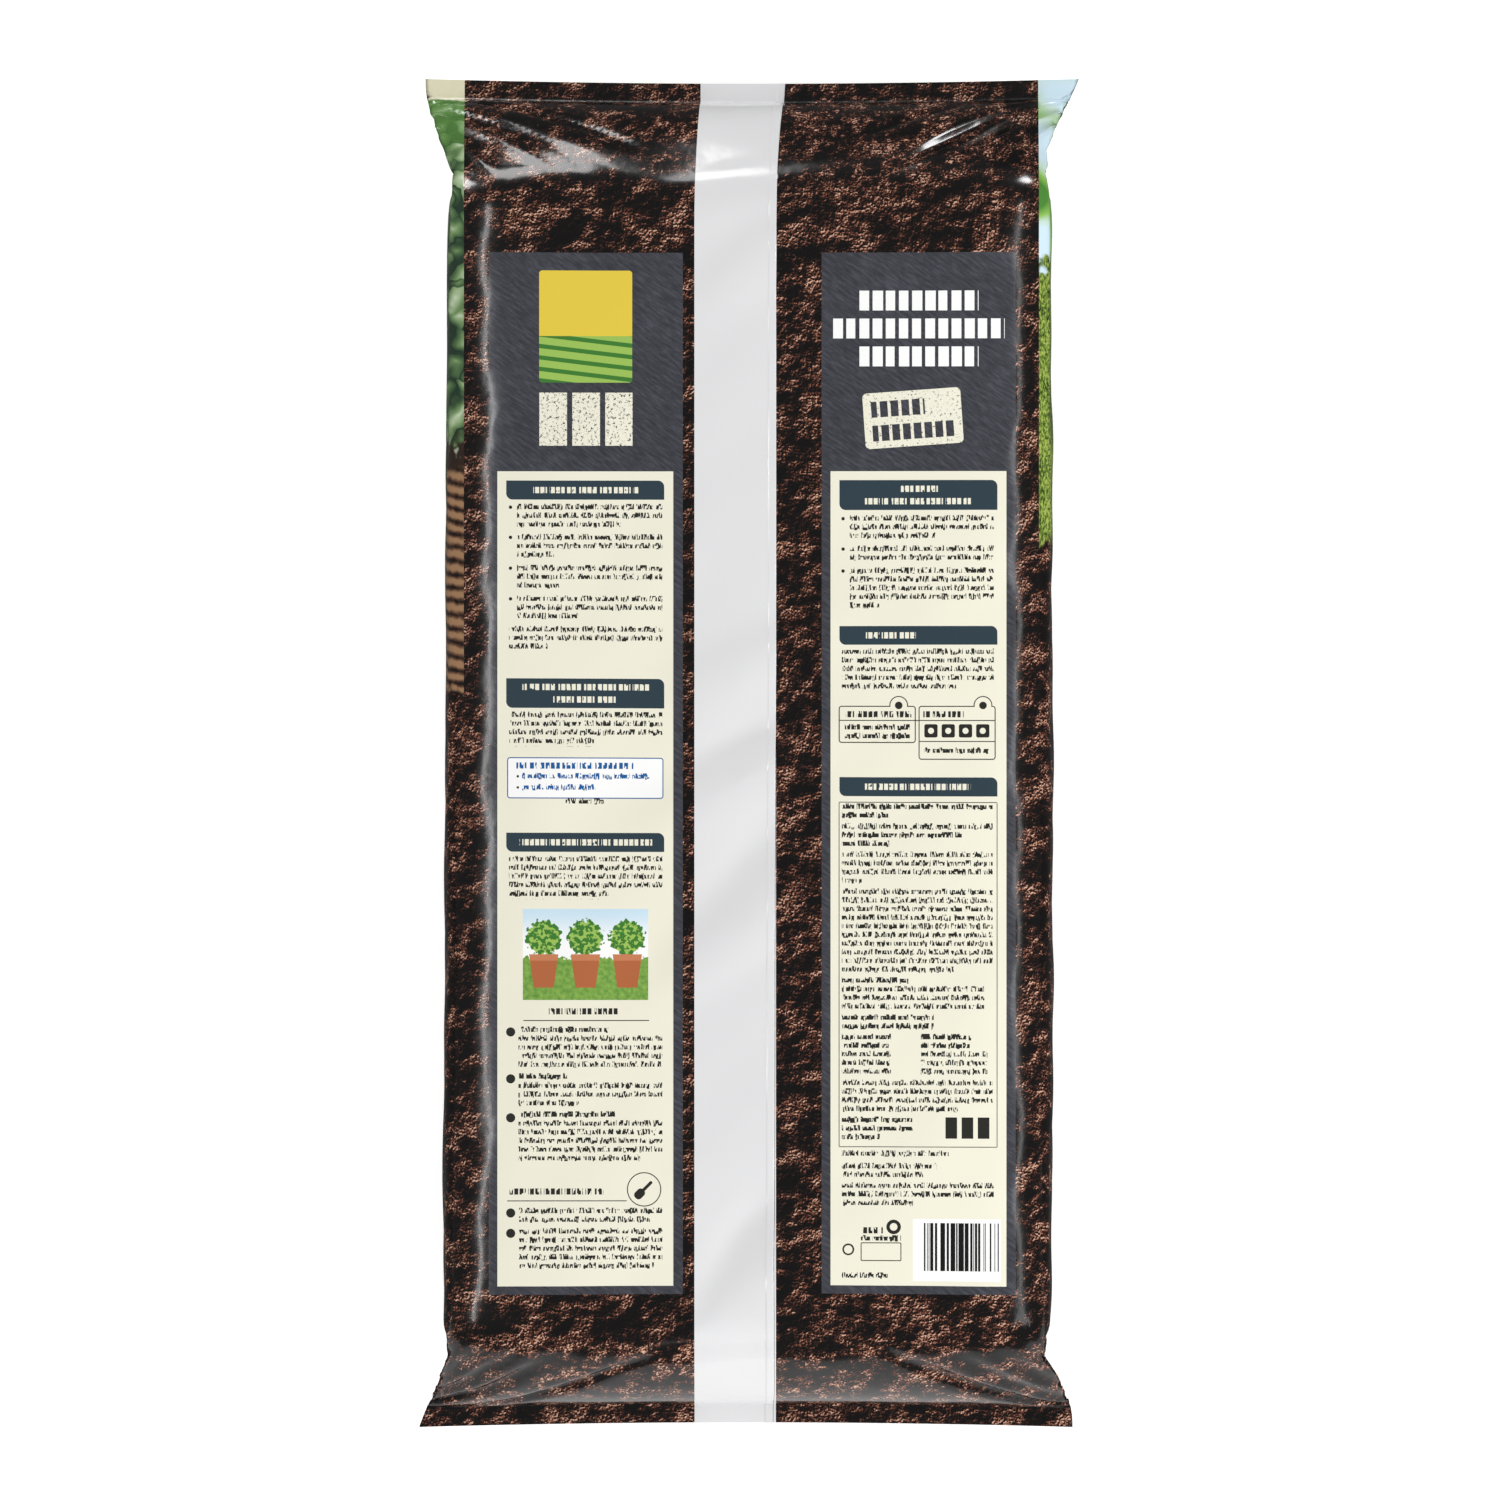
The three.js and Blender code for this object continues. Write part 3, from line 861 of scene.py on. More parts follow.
def lookup(place, rows):
    """Four values, 0 to 1, that hold from one row's place to the next, and none before the first."""
    low, high = rows[0][0] - 1, rows[-1][0] + 1
    node = add_node("ValToRGB", (place - low) / (high - low))
    node.color_ramp.interpolation = "CONSTANT"
    elements = node.color_ramp.elements
    for position, element in enumerate(elements):
        element.position, element.color = position, NOTHING
    for start, values in rows:
        elements.new((start - low) / (high - low)).color = values
    return Value(node.outputs["Color"]), Value(node.outputs["Alpha"])


def paint(under, mask, over):
    """Covers one colour with another, an sRGB code or a shader output, where the mask is 1."""
    colours = [shade(value) if type(value) is int else value for value in (under, over)]
    return Value(add_node("MixRGB", mask, *colours).outputs[0])


def between(value, low, high):
    """1 from the low value to the high one, and 0 elsewhere."""
    return maths("COMPARE", value, (low + high) / 2, (high - low) / 2)


def smooth(value, low, high):
    """Rises from 0 at the low value to 1 at the high one."""
    return Value(add_node("MapRange", value, low, high, interpolation_type="SMOOTHSTEP").outputs[0])


def rectangle(x, y, x_low, x_high, y_low, y_high):
    return between(x, x_low, x_high) * between(y, y_low, y_high)


def distance(x, y, x_middle, y_middle):
    return vector_maths("LENGTH", vector(x - x_middle, y - y_middle))


def in_slots(value, share):
    """1 over the first share of each whole step of the value."""
    return maths("FRACT", value) < share


def outside(x, y, half_width, half_height, radius):
    """Distance outside a round-cornered rectangle round 0, 0. It is negative inside."""
    over = vector_maths("ABSOLUTE", vector(x, y))
    if isinstance(half_height, Value):
        reach = vector(half_width - radius, half_height - radius)
    else:
        reach = (half_width - radius, half_height - radius, 0)
    over = vector_maths("MAXIMUM", vector_maths("SUBTRACT", over, reach), (0, 0, 0))
    return vector_maths("LENGTH", over) - radius


def looked_up(place, tables):
    """What one of several tables holds, where no two of them hold something at one place."""
    values, extras = None, None
    for rows in tables:
        value, extra = lookup(place, rows)
        values = value if values is None else vector_maths("ADD", values, value)
        extras = extra if extras is None else extras + extra
    return parts(values), extras


def line_tables(lines, offset):
    """Rows for lookup, in tables short enough for one ramp each."""
    for first in range(0, len(lines), TABLE_LENGTH):
        rows = []
        for middle, count, left, right, last, weight in lines[first : first + TABLE_LENGTH]:
            start = offset + middle - LINE_PITCH / 2
            tail = start + (count - 1) * LINE_PITCH
            phase = (offset + middle) / LINE_PITCH % 1
            if rows and start - rows[-1][0] < LEAST_SPACE:
                rows.pop()
            for place, end in ((start, right), (tail, last))[count == 1 :]:
                rows.append((place, (left / LAYOUT_SCALE, end / LAYOUT_SCALE, weight, phase)))
            rows.append((tail + LINE_PITCH, NOTHING))
        yield rows


# Places on the film: the print's map, and the film's place in space for the mottled colours
print_map = Value(add_node("UVMap", uv_map="print").outputs[0])
film_x, film_y, _ = parts(vector_maths("MULTIPLY", print_map, (MM, MM, MM)))
space = Value(add_node("TexCoord").outputs["Object"])

# Soil: clods of fine, curled crumbs, lit from the upper left
CLOD_SCALE, CRUMB_SCALE = 60.0, 640.0  # per metre
CLOD_LIGHT_STEP, CRUMB_LIGHT_STEP = (-0.0012, 0.0022, 0.0), (-0.0004, 0.0007, 0.0)
SHADOW_LIGHT = 0.15
CLOD_CONTRAST, CLOD_RELIEF, CLOD_LIGHT_ENDS = 1.5, 2.6, (-0.40, 0.57)
CURL_SHARPNESS, CURL_SHARE, CRUMB_RELIEF, CRUMB_LIGHT = 6.0, 0.42, 3.2, 0.36
SOIL_GAIN, SOIL_LIFT = 0.92, 0.015


def lit_side(place, step, scale, detail):
    """A noise's height, and how much it rises away from the light."""
    height = noise(place, scale, detail=detail, roughness=0.6)
    return height, height - noise(vector_maths("ADD", place, step), scale, detail=detail, roughness=0.6)


clod, clod_lit = lit_side(space, CLOD_LIGHT_STEP, CLOD_SCALE, detail=2.5)
crumb, crumb_lit = lit_side(space, CRUMB_LIGHT_STEP, CRUMB_SCALE, detail=1.0)
clod_light = smooth((clod - 0.5) * CLOD_CONTRAST + clod_lit * CLOD_RELIEF, *CLOD_LIGHT_ENDS)
clod_light = clod_light * (1 - SHADOW_LIGHT) + SHADOW_LIGHT
curls = 1 - abs(crumb - 0.5) * CURL_SHARPNESS
crumb_light = curls * CURL_SHARE + crumb_lit * CRUMB_RELIEF + CRUMB_LIGHT
soil = ramp(clod_light * crumb_light * SOIL_GAIN + SOIL_LIFT, SOIL_SHADES)

# The sides and front: soft foliage above, timber on the left side, soil below.
# Scales are per metre in space and per millimetre on the film.
FRONT_ENDS = (230.0, 320.0)
SOIL_TOP, SOIL_TOP_SHIFT, SOIL_EDGE = 87.0, 47.0, 6
TIMBER_TOP, TIMBER_SHADE_HALF, TIMBER_FRINGE, TIMBER_EDGE = 178.0, 4, 24, 12
SLAT_PITCH, SLAT_TILT, SLAT_WAVE, SLAT_WAVE_SCALE = 8.4, 0.22, 8, 25
SLAT_ROUND, TIMBER_GRAIN, TIMBER_GRAIN_SCALE, TIMBER_DARK = 0.9, 0.7, 200, 0.25
LAWN_TOP, LAWN_EDGE, LAWN_MOTTLE, LAWN_MOTTLE_SCALE = 313.0, 8, 0.3, 60
BLADE_SCALE, BLADE_STRETCH, BLADE_SHARE = 0.9, 0.4, 0.7
FRINGE, FRINGE_SCALE = 40, 110
LEAF_SCALE, LEAF_TURN = 0.085, (0.8, 0.4)
LEAF_WARP, LEAF_WARP_SCALE = (22, 16), 0.06
LEAF_RADIUS, LEAF_RELIEF, LEAF_VARIETY, LEAF_DARK = 0.62, 0.42, 0.30, 0.03
SHRUB_SHARE, SHRUB_SCALE, BOKEH_SCALE = 0.45, 16, 22
LEAF_ENDS, LEAF_COVER, CREAM_ENDS, CREAM_COVER = (385.0, 400.0), 0.65, (462.0, 470.0), 0.85
side_sign = maths("SIGN", film_x)
girth = abs(film_x)
on_front = smooth(girth, *FRONT_ENDS)
left_share = (side_sign < 0) * (1 - on_front)
right_share = (side_sign > 0) * (1 - on_front)
leaf_warp = noise(vector(film_x, film_y), LEAF_WARP_SCALE, detail=1.5, flat=True)
leaf_x = film_x * LEAF_TURN[0] + film_y * LEAF_TURN[1] + leaf_warp * LEAF_WARP[0]
leaf_y = film_y * LEAF_TURN[0] - film_x * LEAF_TURN[1] + leaf_warp * LEAF_WARP[1]
leaf_distance, leaf_tone = cells(vector(leaf_x, leaf_y), LEAF_SCALE)
leafy = (LEAF_RADIUS - leaf_distance) * LEAF_RELIEF + leaf_tone * LEAF_VARIETY
leafy = leafy + noise(space, SHRUB_SCALE, detail=1.0) * SHRUB_SHARE - LEAF_DARK
bokeh = ramp(noise(space, BOKEH_SCALE, detail=0.5), BOKEH_SHADES)
foliage = paint(ramp(leafy, FOLIAGE_SHADES), right_share, bokeh)
foliage = paint(foliage, smooth(film_y, *LEAF_ENDS) * left_share * LEAF_COVER, LEAF_GREEN)
foliage = paint(foliage, smooth(film_y, *CREAM_ENDS) * left_share * CREAM_COVER, BLURRED_CREAM)
blade_place = vector(film_x, film_y * BLADE_STRETCH)
blades = noise(blade_place, BLADE_SCALE, detail=2, roughness=0.7, flat=True)
lawn_mottle = noise(space, LAWN_MOTTLE_SCALE, detail=1) * LAWN_MOTTLE
lawn = ramp(blades * BLADE_SHARE + lawn_mottle, LAWN_SHADES)
fringe = (noise(space, FRINGE_SCALE) - 0.5) * FRINGE
lawn_share = smooth(LAWN_TOP - film_y + fringe, 0, LAWN_EDGE) * right_share
slat_place = film_y + film_x * SLAT_TILT + noise(space, SLAT_WAVE_SCALE) * SLAT_WAVE
slats = maths("PINGPONG", slat_place, SLAT_PITCH / 2) / SLAT_PITCH * 2
timber_grain = noise(space, TIMBER_GRAIN_SCALE, detail=2) * TIMBER_GRAIN
timber = ramp(slats * SLAT_ROUND + timber_grain - TIMBER_DARK, TIMBER_SHADES)
timber_shade = smooth(film_y, TIMBER_TOP - TIMBER_SHADE_HALF, TIMBER_TOP + TIMBER_SHADE_HALF)
timber = paint(timber, timber_shade, TIMBER_SHADOW)
timber_share = smooth(TIMBER_TOP + TIMBER_FRINGE - film_y + fringe, 0, TIMBER_EDGE) * left_share
soil_top = SOIL_TOP + side_sign * (1 - on_front) * SOIL_TOP_SHIFT
garden = paint(foliage, timber_share, timber)
garden = paint(garden, lawn_share, lawn)
garden = paint(garden, smooth(soil_top - film_y + fringe, -SOIL_EDGE, SOIL_EDGE), soil)
colour = paint(garden, between(film_x, *BACK_EDGES), soil)

# Slate panels, with a fine slanting grain
GRAIN_TURN, GRAIN_STRETCH, GRAIN_SCALE, GRAIN_SHARE = (0.82, 0.57), 6, 0.10, 0.8
SLATE_MOTTLE, SLATE_MOTTLE_SCALE = 0.2, 30
right_side = film_x > 0
slate_x = film_x - SLATE_LEFT - right_side * (SLATE_RIGHT - SLATE_LEFT)
grain_x = film_x * GRAIN_TURN[0] - film_y * GRAIN_TURN[1]
grain_y = (film_y * GRAIN_TURN[0] + film_x * GRAIN_TURN[1]) * GRAIN_STRETCH
grain = noise(vector(grain_x, grain_y), GRAIN_SCALE, detail=3, roughness=0.7, flat=True)
slate = ramp(grain * GRAIN_SHARE + noise(space, SLATE_MOTTLE_SCALE) * SLATE_MOTTLE, SLATE_SHADES)
on_slate = between(slate_x, -SLATE_HALF_WIDTH, SLATE_HALF_WIDTH) * between(film_y, *SLATE_ENDS)
colour = paint(colour, on_slate, slate)

# On the left slate: a plain badge of two fields, and a row of worn blocks
WEAR_SCALE, BLOCK_WEAR, PLATE_WEAR = 0.5, 0.585, 0.62
BADGE_MIDDLE, BADGE_HALF, BADGE_ROUND = (-103.05, 268.4), (29.35, 35.3), 2.0
BADGE_FIELD = -6.0  # the lower field's top edge, from the badge's middle
FURROW_PITCH, FURROW_TILT, FURROW_SHARE = 7.2, 0.12, 0.62
BLOCK_ENDS, BLOCK_ROWS = (-132.3, -73.5), (193.4, 226.8)
BLOCK_PITCH, BLOCK_SHARE = 20.8, 0.84
worn = noise(vector(film_x, film_y), WEAR_SCALE, detail=4, roughness=0.8, flat=True)
badge_x, badge_y = film_x - BADGE_MIDDLE[0], film_y - BADGE_MIDDLE[1]
in_badge = outside(badge_x, badge_y, *BADGE_HALF, BADGE_ROUND) < 0
colour = paint(colour, in_badge, BADGE_YELLOW)
lower_field = in_badge * (badge_y < BADGE_FIELD)
furrow = in_slots((badge_y + badge_x * FURROW_TILT) / FURROW_PITCH, FURROW_SHARE)
colour = paint(colour, lower_field, BUSH_GREEN)
colour = paint(colour, lower_field * furrow, LAWN)
in_block = in_slots((film_x - BLOCK_ENDS[0]) / BLOCK_PITCH, BLOCK_SHARE)
blocks = rectangle(film_x, film_y, *BLOCK_ENDS, *BLOCK_ROWS) * in_block
colour = paint(colour, blocks * (worn < BLOCK_WEAR), CREAM)

# On the right slate: three rows of plain blocks, and a tilted worn plate with two rows of bars
TITLE_TOP, TITLE_PITCH, TITLE_HEIGHT, TITLE_LETTER = 290.9, 17.6, 12.5, 8.3
TITLE_HALF, TITLE_MIDDLE_MORE = 37.8, 16.5
TITLE_SHARE, TITLE_VARIETY = 0.66, 0.14
PLATE_MIDDLE, PLATE_HALF, PLATE_ROUND = (103.4, 210.6), (31.0, 17.5), 3.0
PLATE_TURN = math.radians(4)
UPPER_BARS, LOWER_BARS, BARS_PITCH, BARS_SHARE = (-26, 8, 2, 12), (-26, 27, -13, -3), 6.8, 0.72
title_row = (TITLE_TOP - film_y) / TITLE_PITCH
middle_row = between(title_row, 1, 2)
title = between(title_row, 0, 3) * in_slots(title_row, TITLE_HEIGHT / TITLE_PITCH)
title = title * (abs(film_x - SLATE_RIGHT) < middle_row * TITLE_MIDDLE_MORE + TITLE_HALF)
title_cell = vector((film_x - SLATE_RIGHT) / TITLE_LETTER + 0.5, title_row)
letter_share = cell_values(title_cell)[0] * TITLE_VARIETY + TITLE_SHARE
title = title * in_slots(parts(title_cell)[0], letter_share)
colour = paint(colour, title, WHITE)
turned_x, turned_y = film_x - PLATE_MIDDLE[0], film_y - PLATE_MIDDLE[1]
plate_x = turned_x * math.cos(PLATE_TURN) + turned_y * math.sin(PLATE_TURN)
plate_y = turned_y * math.cos(PLATE_TURN) - turned_x * math.sin(PLATE_TURN)
plate = (outside(plate_x, plate_y, *PLATE_HALF, PLATE_ROUND) < 0) * (worn < PLATE_WEAR)
bars = maths("MAXIMUM", rectangle(plate_x, plate_y, *UPPER_BARS), rectangle(plate_x, plate_y, *LOWER_BARS))
colour = paint(colour, plate * (1 - bars * in_slots(plate_x / BARS_PITCH, BARS_SHARE)), CREAM)

# Text panels: x from the panel's left edge, and down from its top edge, one panel after the other
PANEL_PAINTED_SHADE, PANEL_PAINTED_SHADE_SCALE = 0.12, 12
x = film_x - PANEL_LEFT - right_side * (PANEL_RIGHT - PANEL_LEFT)
down = PANEL_TOP - film_y
y = down + right_side * SCROLL
on_panel = rectangle(x, down, 0, PANEL_SIZE[0], 0, PANEL_SIZE[1])
# The cream panels get soft random patches of painted shade.
panel = paint(CREAM, noise(space, PANEL_PAINTED_SHADE_SCALE) * PANEL_PAINTED_SHADE, CREAM_SHADOW)


def box_edge(middle_x, middle_y, half_width, half_height, radius):
    """Distance outside one of the round-cornered boxes on the panels."""
    return outside(x - middle_x, y - middle_y, half_width, half_height, radius)


# Heading bars, with two of their corners round
heading_rows = [(HEADINGS[0][0] - HEADINGS[0][1] - HEADING_MARGIN, NOTHING)]
for middle, half in HEADINGS:
    held = (middle / PLACE_SCALE, half / SIZE_SCALE, 1, 0)
    heading_rows.append((middle - half - HEADING_MARGIN, held))
    heading_rows.append((middle + half + HEADING_MARGIN, NOTHING))
heading_middle, heading_half, on_heading = parts(lookup(y, heading_rows)[0])
bar_x = x - sum(HEADING_ENDS) / 2
bar_y = y - heading_middle * PLACE_SCALE
rounded = bar_x * bar_y < 0
bar_half = (HEADING_ENDS[1] - HEADING_ENDS[0]) / 2
bar_edge = outside(bar_x, bar_y, bar_half, heading_half * SIZE_SCALE, HEADING_ROUND)
square = (abs(bar_x) < bar_half) * (abs(bar_y) < heading_half * SIZE_SCALE)
heading = maths("MAXIMUM", bar_edge < 0, square * (1 - rounded)) * on_heading
panel = paint(panel, heading, BAR)

# Boxes: a white one with a blue edge, two speech boxes, a bordered field and a small one
white_edge = box_edge(*WHITE_BOX)
panel = paint(panel, white_edge < 0, WHITE)
panel = paint(panel, abs(white_edge) < LINE_HALF, BLUE)
second = x > SPEECH_FOLD
speech_half = (second * SPEECH_SECOND_MORE + SPEECH_BOTTOM - SPEECH_TOP) / 2
speech_x = abs(x - SPEECH_FOLD) - SPEECH_OFFSET
speech_y = y - SPEECH_TOP - speech_half
speech_edge = outside(speech_x, speech_y, SPEECH_HALF_WIDTH, speech_half, SPEECH_ROUND)
tab_distance = distance(x - second * TAB_PITCH, y, *TAB_PLACE)
speech_edge = maths("MINIMUM", speech_edge, tab_distance - TAB_RADIUS)
dark = (abs(speech_edge) < LINE_HALF) + (tab_distance < TAB_DOT)
for box, line_half in ((FIELD_BOX, FIELD_LINE_HALF), (SMALL_BOX, SMALL_LINE_HALF)):
    dark = dark + (abs(box_edge(*box)) < line_half)
for rule in RULES:
    dark = dark + rectangle(x, y, *rule)
for ring_x, ring_y, ring_radius, line_half in RINGS:
    dark = dark + (abs(distance(x, y, ring_x, ring_y) - ring_radius) < line_half)

# Small pictures: a tool in a ring, four icons in a row, and a mark of three bars
from_x, from_y = x - ICON_MIDDLE[0], y - ICON_MIDDLE[1]
tool_x = (from_x + from_y) * math.cos(math.pi / 4)
tool_y = (from_y - from_x) * math.cos(math.pi / 4)
for tool_part, offset in ((HANDLE, HANDLE_OFFSET), (BLADE, BLADE_OFFSET)):
    dark = dark + (outside(tool_x, tool_y - offset, *tool_part) < 0)
icon_x = maths("FRACT", (x - ICON_START) / ICON_PITCH) * ICON_PITCH - ICON_PITCH / 2
icon_row = between(x, ICON_START, ICON_START + ICON_COUNT * ICON_PITCH)
icons = (outside(icon_x, y - ICON_ROW, ICON_HALF, ICON_HALF, ICON_ROUND) < 0) * icon_row
icons = icons * (distance(icon_x, y, 0.0, ICON_ROW) > ICON_HOLE)
mark = rectangle(x, y, *MARK) * in_slots((x - MARK[0]) / MARK_PITCH, MARK_SHARE)
dark = dark + icons + mark

# Dots before the paragraphs
dot_tables = []
for group in DOT_GROUPS:
    rows = []
    for middle, dot_x, radius in group:
        held = (middle / PLACE_SCALE, dot_x / ACROSS_SCALE, radius / SIZE_SCALE, 0)
        rows.append((middle - DOT_REACH, held))
    dot_tables.append([*rows, (group[-1][0] + DOT_REACH, NOTHING)])
(dot_y, dot_x, dot_radius), _ = looked_up(y, dot_tables)
from_dot = vector(x - dot_x * ACROSS_SCALE, y - dot_y * PLACE_SCALE)
dark = dark + (vector_maths("LENGTH", from_dot) < dot_radius * SIZE_SCALE)
panel = paint(panel, maths("MINIMUM", dark, 1.0), INK)

# Lines of print, greeked: strokes that fill words of random length
STROKE_LEVEL, STROKE_WEIGHT, LARGE_GAP = 0.55, 0.36, 0.24
GAP_RANGE, GAP_START = 0.6, 0.2
tables = (*line_tables(LEFT_LINES, 0), *line_tables(RIGHT_LINES, SCROLL))
(line_start, line_end, weight), phases = looked_up(y, tables)
line = y / LINE_PITCH - phases + 0.5
off_line = (0.5 - maths("FRACT", line)) * LINE_PITCH
on_line = (x > line_start * LAYOUT_SCALE) * (x < line_end * LAYOUT_SCALE)
bigger = weight > (BOLD + LARGE) / 2
word = vector(x / WORD_PITCH, line)
from_gap = abs(maths("FRACT", x / WORD_PITCH) - cell_values(word)[0] * GAP_RANGE - GAP_START)
word_gap = from_gap < WORD_GAP / WORD_PITCH / 2
letter_x = x / (bigger * (LARGE_PITCH - LETTER_PITCH) + LETTER_PITCH)
letter = vector(letter_x, line)
tall, deep, _ = cell_values(letter)
half_letter = bigger * LARGE_HALF + LETTER_HALF
above = (tall > 1 - TALL_SHARE) * ASCENT * (1 - bigger) + half_letter
below = (deep > 1 - DEEP_SHARE) * DESCENT * (1 - bigger) + half_letter
in_line = (off_line < above) * (off_line > below * -1)
stroke_place = vector(letter_x * STROKE_STRETCH[0], y * STROKE_STRETCH[1])
strokes = noise(stroke_place, 1.0, detail=0, flat=True)
solid = (strokes > STROKE_LEVEL - weight * STROKE_WEIGHT) * (maths("FRACT", letter_x) > bigger * LARGE_GAP)
words = on_line * (1 - word_gap) * in_line * solid
for gap in GAPS:
    words = words * (1 - rectangle(x, y, *gap))
on_white = white_edge < 0
word_colour = paint(paint(INK, on_white, BLUE), weight > (LARGE + LIGHT) / 2, CREAM)
panel = paint(panel, words, word_colour)

# The picture: pots with round bushes on a lawn, all a little uneven
BLUR_SCALE, HORIZON_WAVE, BUSH_WAVE, BUSH_PATCHES = 0.35, 6, 7, 0.52
POT_PITCH = (PICTURE[1] - PICTURE[0]) / POTS
pot_x = maths("FRACT", (x - PICTURE[0]) / POT_PITCH) * POT_PITCH - POT_PITCH / 2
blur = noise(vector(x, y), BLUR_SCALE, detail=2, flat=True)
picture = paint(SKY, smooth(y, PICTURE[2], CLOUD_END), WHITE)
picture = paint(picture, y + blur * HORIZON_WAVE > HORIZON, paint(LAWN, blur, BUSH_GREEN))
bush = distance(pot_x, y, 0.0, BUSH_MIDDLE) + blur * BUSH_WAVE < BUSH_RADIUS
picture = paint(picture, bush, paint(BUSH_GREEN, blur > BUSH_PATCHES, LAWN))
pot_body = between(y, POT_TOP, POT_BOTTOM) * (abs(pot_x) + y * POT_TAPER < POT_REACH)
picture = paint(picture, pot_body, paint(POT_RED, between(y, POT_TOP, POT_RIM_END), POT_RIM))
panel = paint(panel, rectangle(x, y, *PICTURE), picture)

# The code's bars: each module is dark or light by chance
LIGHT_MODULES = 0.48
panel = paint(panel, rectangle(x, y, *CODE_FIELD), WHITE)
module = cell_values(vector(x / MODULE, 0.5))[0] > LIGHT_MODULES
panel = paint(panel, rectangle(x, y, *CODE_BARS) * module, CODE_INK)
colour = paint(colour, on_panel, panel)

# The white strip under the lap seam, which drifts to the right near the top weld, with soft random patches
# of painted shade
STRIP_PAINTED_SHADE, STRIP_PAINTED_SHADE_SCALE = 0.5, 9
strip_x = film_x - smooth(film_y, *STRIP_DRIFT_ENDS) * STRIP_DRIFT
strip = paint(STRIP_WHITE, noise(space, STRIP_PAINTED_SHADE_SCALE) * STRIP_PAINTED_SHADE, STRIP_SHADOW)
colour = paint(colour, between(strip_x, *STRIP_EDGES), strip)

# The film's gloss, with fine wrinkles
FILM_ROUGHNESS, FILM_IOR = 0.16, 1.5
WRINKLE_STRENGTH, WRINKLE_DEPTH, WRINKLE_SCALE = 0.25, 0.001, 60
wrinkles = noise(space, WRINKLE_SCALE, detail=2, roughness=0.55)
bump = add_node("Bump")
fill(bump.inputs, {"Strength": WRINKLE_STRENGTH, "Distance": WRINKLE_DEPTH, "Height": wrinkles})
fill(film_looks, {"Base Color": colour, "Normal": Value(bump.outputs[0])})
fill(film_looks, {"Roughness": FILM_ROUGHNESS, "IOR": FILM_IOR})

film_points, film_grid = simulated_film()
bag = add_piece("bag_film", film_mesh(film_points, film_grid), film_material)
add_piece("lap_seam", seam_mesh(film_points, film_grid), film_material)
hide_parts(NODE)

# The photograph's frame is a square of the floor, seen from straight above
FRAME_WIDTH = 0.945
FRAME_MIDDLE = (0.0006, 0.0019)
FRAME_HEIGHT = 0.10  # the height at which the frame has that width
CAMERA_DISTANCE = 30.0
SENSOR = 36.0
SKY_LEVEL = 0.77
SKY_IN_GLOSS = 0.25
LIGHT_DISTANCE = 3.6
FLOOR_WHITE, FLOOR_DARK = 0.92, 0.10  # as it is, and in the film's gloss, where the dark one is a painted dark reflection
FLOOR_LIFT = 0.50  # what the floor shows the camera above what it is lit with
FLOOR_HALF, FLOOR_DROP, FLOOR_ROUGHNESS = 6, 0.0005, 0.9
CORNERS = ((-1, -1), (1, -1), (1, 1), (-1, 1))
# Along y, the floor's painted glow seen only in the film's gloss: full beyond the first place, none past
# the second
FLOOR_GLOW_ENDS, FLOOR_GLOW_IN_GLOSS = (-0.45, -0.42), (0.76, 0.0)

camera_data = bpy.data.cameras.new("camera")
camera_data.sensor_width = SENSOR
camera_data.lens = SENSOR * CAMERA_DISTANCE / FRAME_WIDTH
camera_data.clip_end = 100
camera = bpy.data.objects.new("camera", camera_data)
camera.location = (*FRAME_MIDDLE, FRAME_HEIGHT + CAMERA_DISTANCE)
bpy.context.scene.collection.objects.link(camera)
bpy.context.scene.camera = camera

floor_mesh = bpy.data.meshes.new("floor")
floor_corners = [(east * FLOOR_HALF, north * FLOOR_HALF, 0) for east, north in CORNERS]
floor_mesh.from_pydata(floor_corners, [], [(0, 1, 2, 3)])
floor = bpy.data.objects.new("floor", floor_mesh)
floor.location.z = -FLOOR_DROP
bpy.context.scene.collection.objects.link(floor)
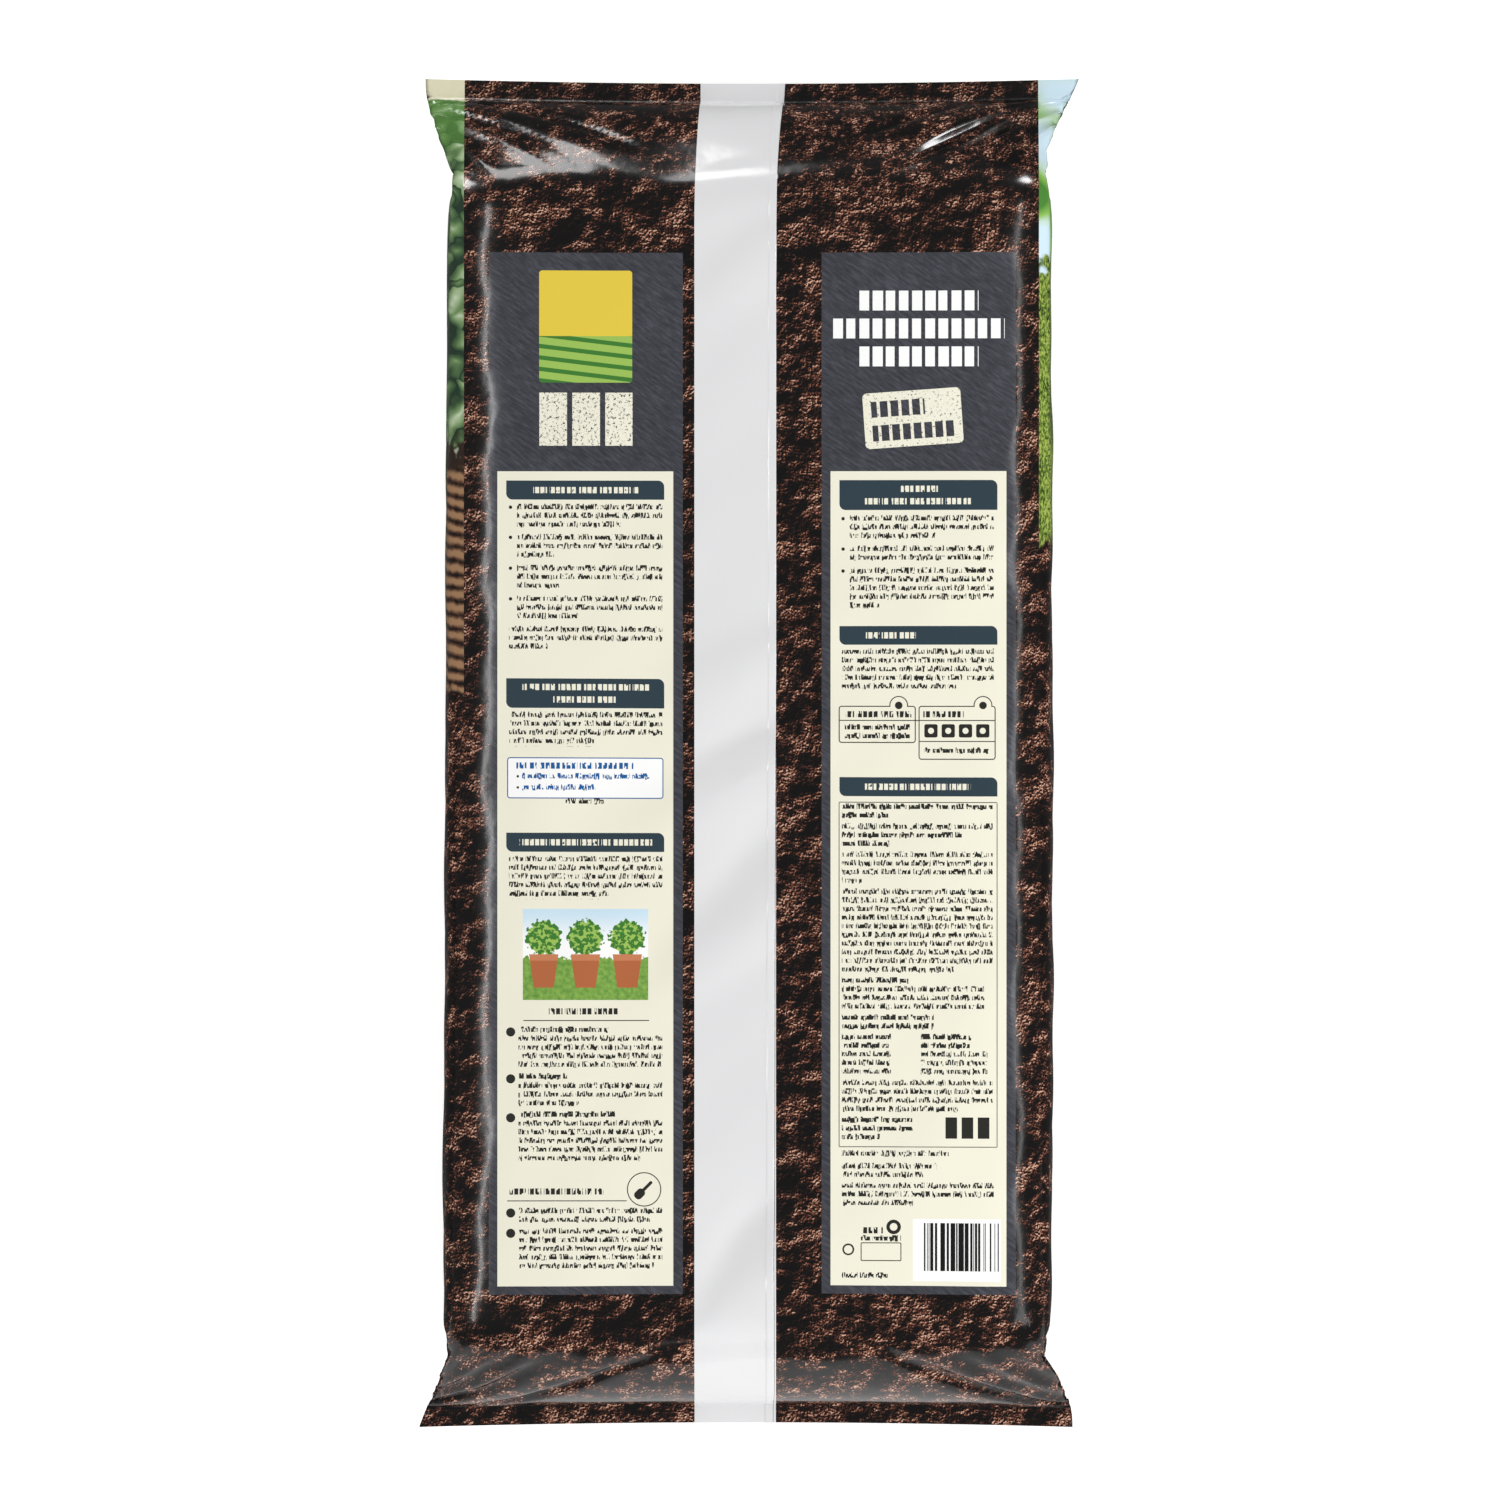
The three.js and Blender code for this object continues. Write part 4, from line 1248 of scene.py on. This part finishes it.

# The floor's looks: white to the camera. In the film's gloss it is dark, with a painted glow beyond the
# base end only, which paints a reflection on the base slope
floor_material, tree, floor_looks = start_material("floor")
floor_mesh.materials.append(floor_material)
ray = add_node("LightPath").outputs
seen, in_gloss = Value(ray["Is Camera Ray"]), Value(ray["Is Glossy Ray"])
floor_y = parts(Value(add_node("NewGeometry").outputs["Position"]))[1]
painted_glow = Value(add_node("MapRange", floor_y, *FLOOR_GLOW_ENDS, *FLOOR_GLOW_IN_GLOSS).outputs[0])
floor_colours = [(level, level, level, 1) for level in (FLOOR_WHITE, FLOOR_DARK)]
fill(floor_looks, {"Roughness": FLOOR_ROUGHNESS, "Specular IOR Level": 0, "Emission Color": (1, 1, 1, 1)})
fill(floor_looks, {"Emission Strength": seen * FLOOR_LIFT + in_gloss * painted_glow})
fill(floor_looks, {"Base Color": paint(floor_colours[0], in_gloss, floor_colours[1])})

world = bpy.data.worlds.new("studio")
bpy.context.scene.world = world
world.use_nodes = True
tree = world.node_tree
in_gloss = Value(add_node("LightPath").outputs["Is Glossy Ray"])
sky_level = add_node("MapRange", in_gloss, 0, 1, SKY_LEVEL, SKY_LEVEL * SKY_IN_GLOSS)
fill(tree.nodes["Background"].inputs, {"Color": (1, 1, 1, 1), "Strength": Value(sky_level.outputs[0])})


def add_softbox(name, bearing, height_angle, size, power, gloss=True, colour=True):
    """A soft light that faces the bag, at a bearing from the right and an angle above the floor.

    It lights the film's gloss, its colour or both. Angles in degrees, size across and up in
    metres, power in watts.
    """
    turn, lift = math.radians(bearing), math.radians(height_angle)
    away = Vector((math.cos(turn) * math.cos(lift), math.sin(turn) * math.cos(lift), math.sin(lift)))
    lamp = bpy.data.lights.new(name, "AREA")
    lamp.shape = "RECTANGLE"
    lamp.size, lamp.size_y = size
    lamp.energy = power
    softbox = bpy.data.objects.new(name, lamp)
    softbox.location = away * LIGHT_DISTANCE + Vector((0, 0, BAG_HEIGHT / 2))
    softbox.rotation_mode = "QUATERNION"
    softbox.rotation_quaternion = away.to_track_quat("Z", "Y")
    softbox.visible_glossy = gloss
    softbox.visible_diffuse = colour
    bpy.context.scene.collection.objects.link(softbox)


add_softbox("left_light", 180, 50, size=(2.4, 0.15), power=17)
add_softbox("right_light", 0, 44, size=(2.4, 0.15), power=8)
add_softbox("top_light", 104, 9, size=(1.5, 1.2), power=48, colour=False)
add_softbox("corner_light", 135, 12, size=(1.0, 0.8), power=42, colour=False)
add_softbox("right_corner_light", 55, 13, size=(0.6, 0.5), power=26, colour=False)
add_softbox("key_light", -42, 16, size=(1.5, 1.0), power=56, gloss=False)
add_softbox("top_fill", 100, 16, size=(1.8, 1.0), power=14, gloss=False)
bpy.context.scene.view_settings.view_transform = "Standard"
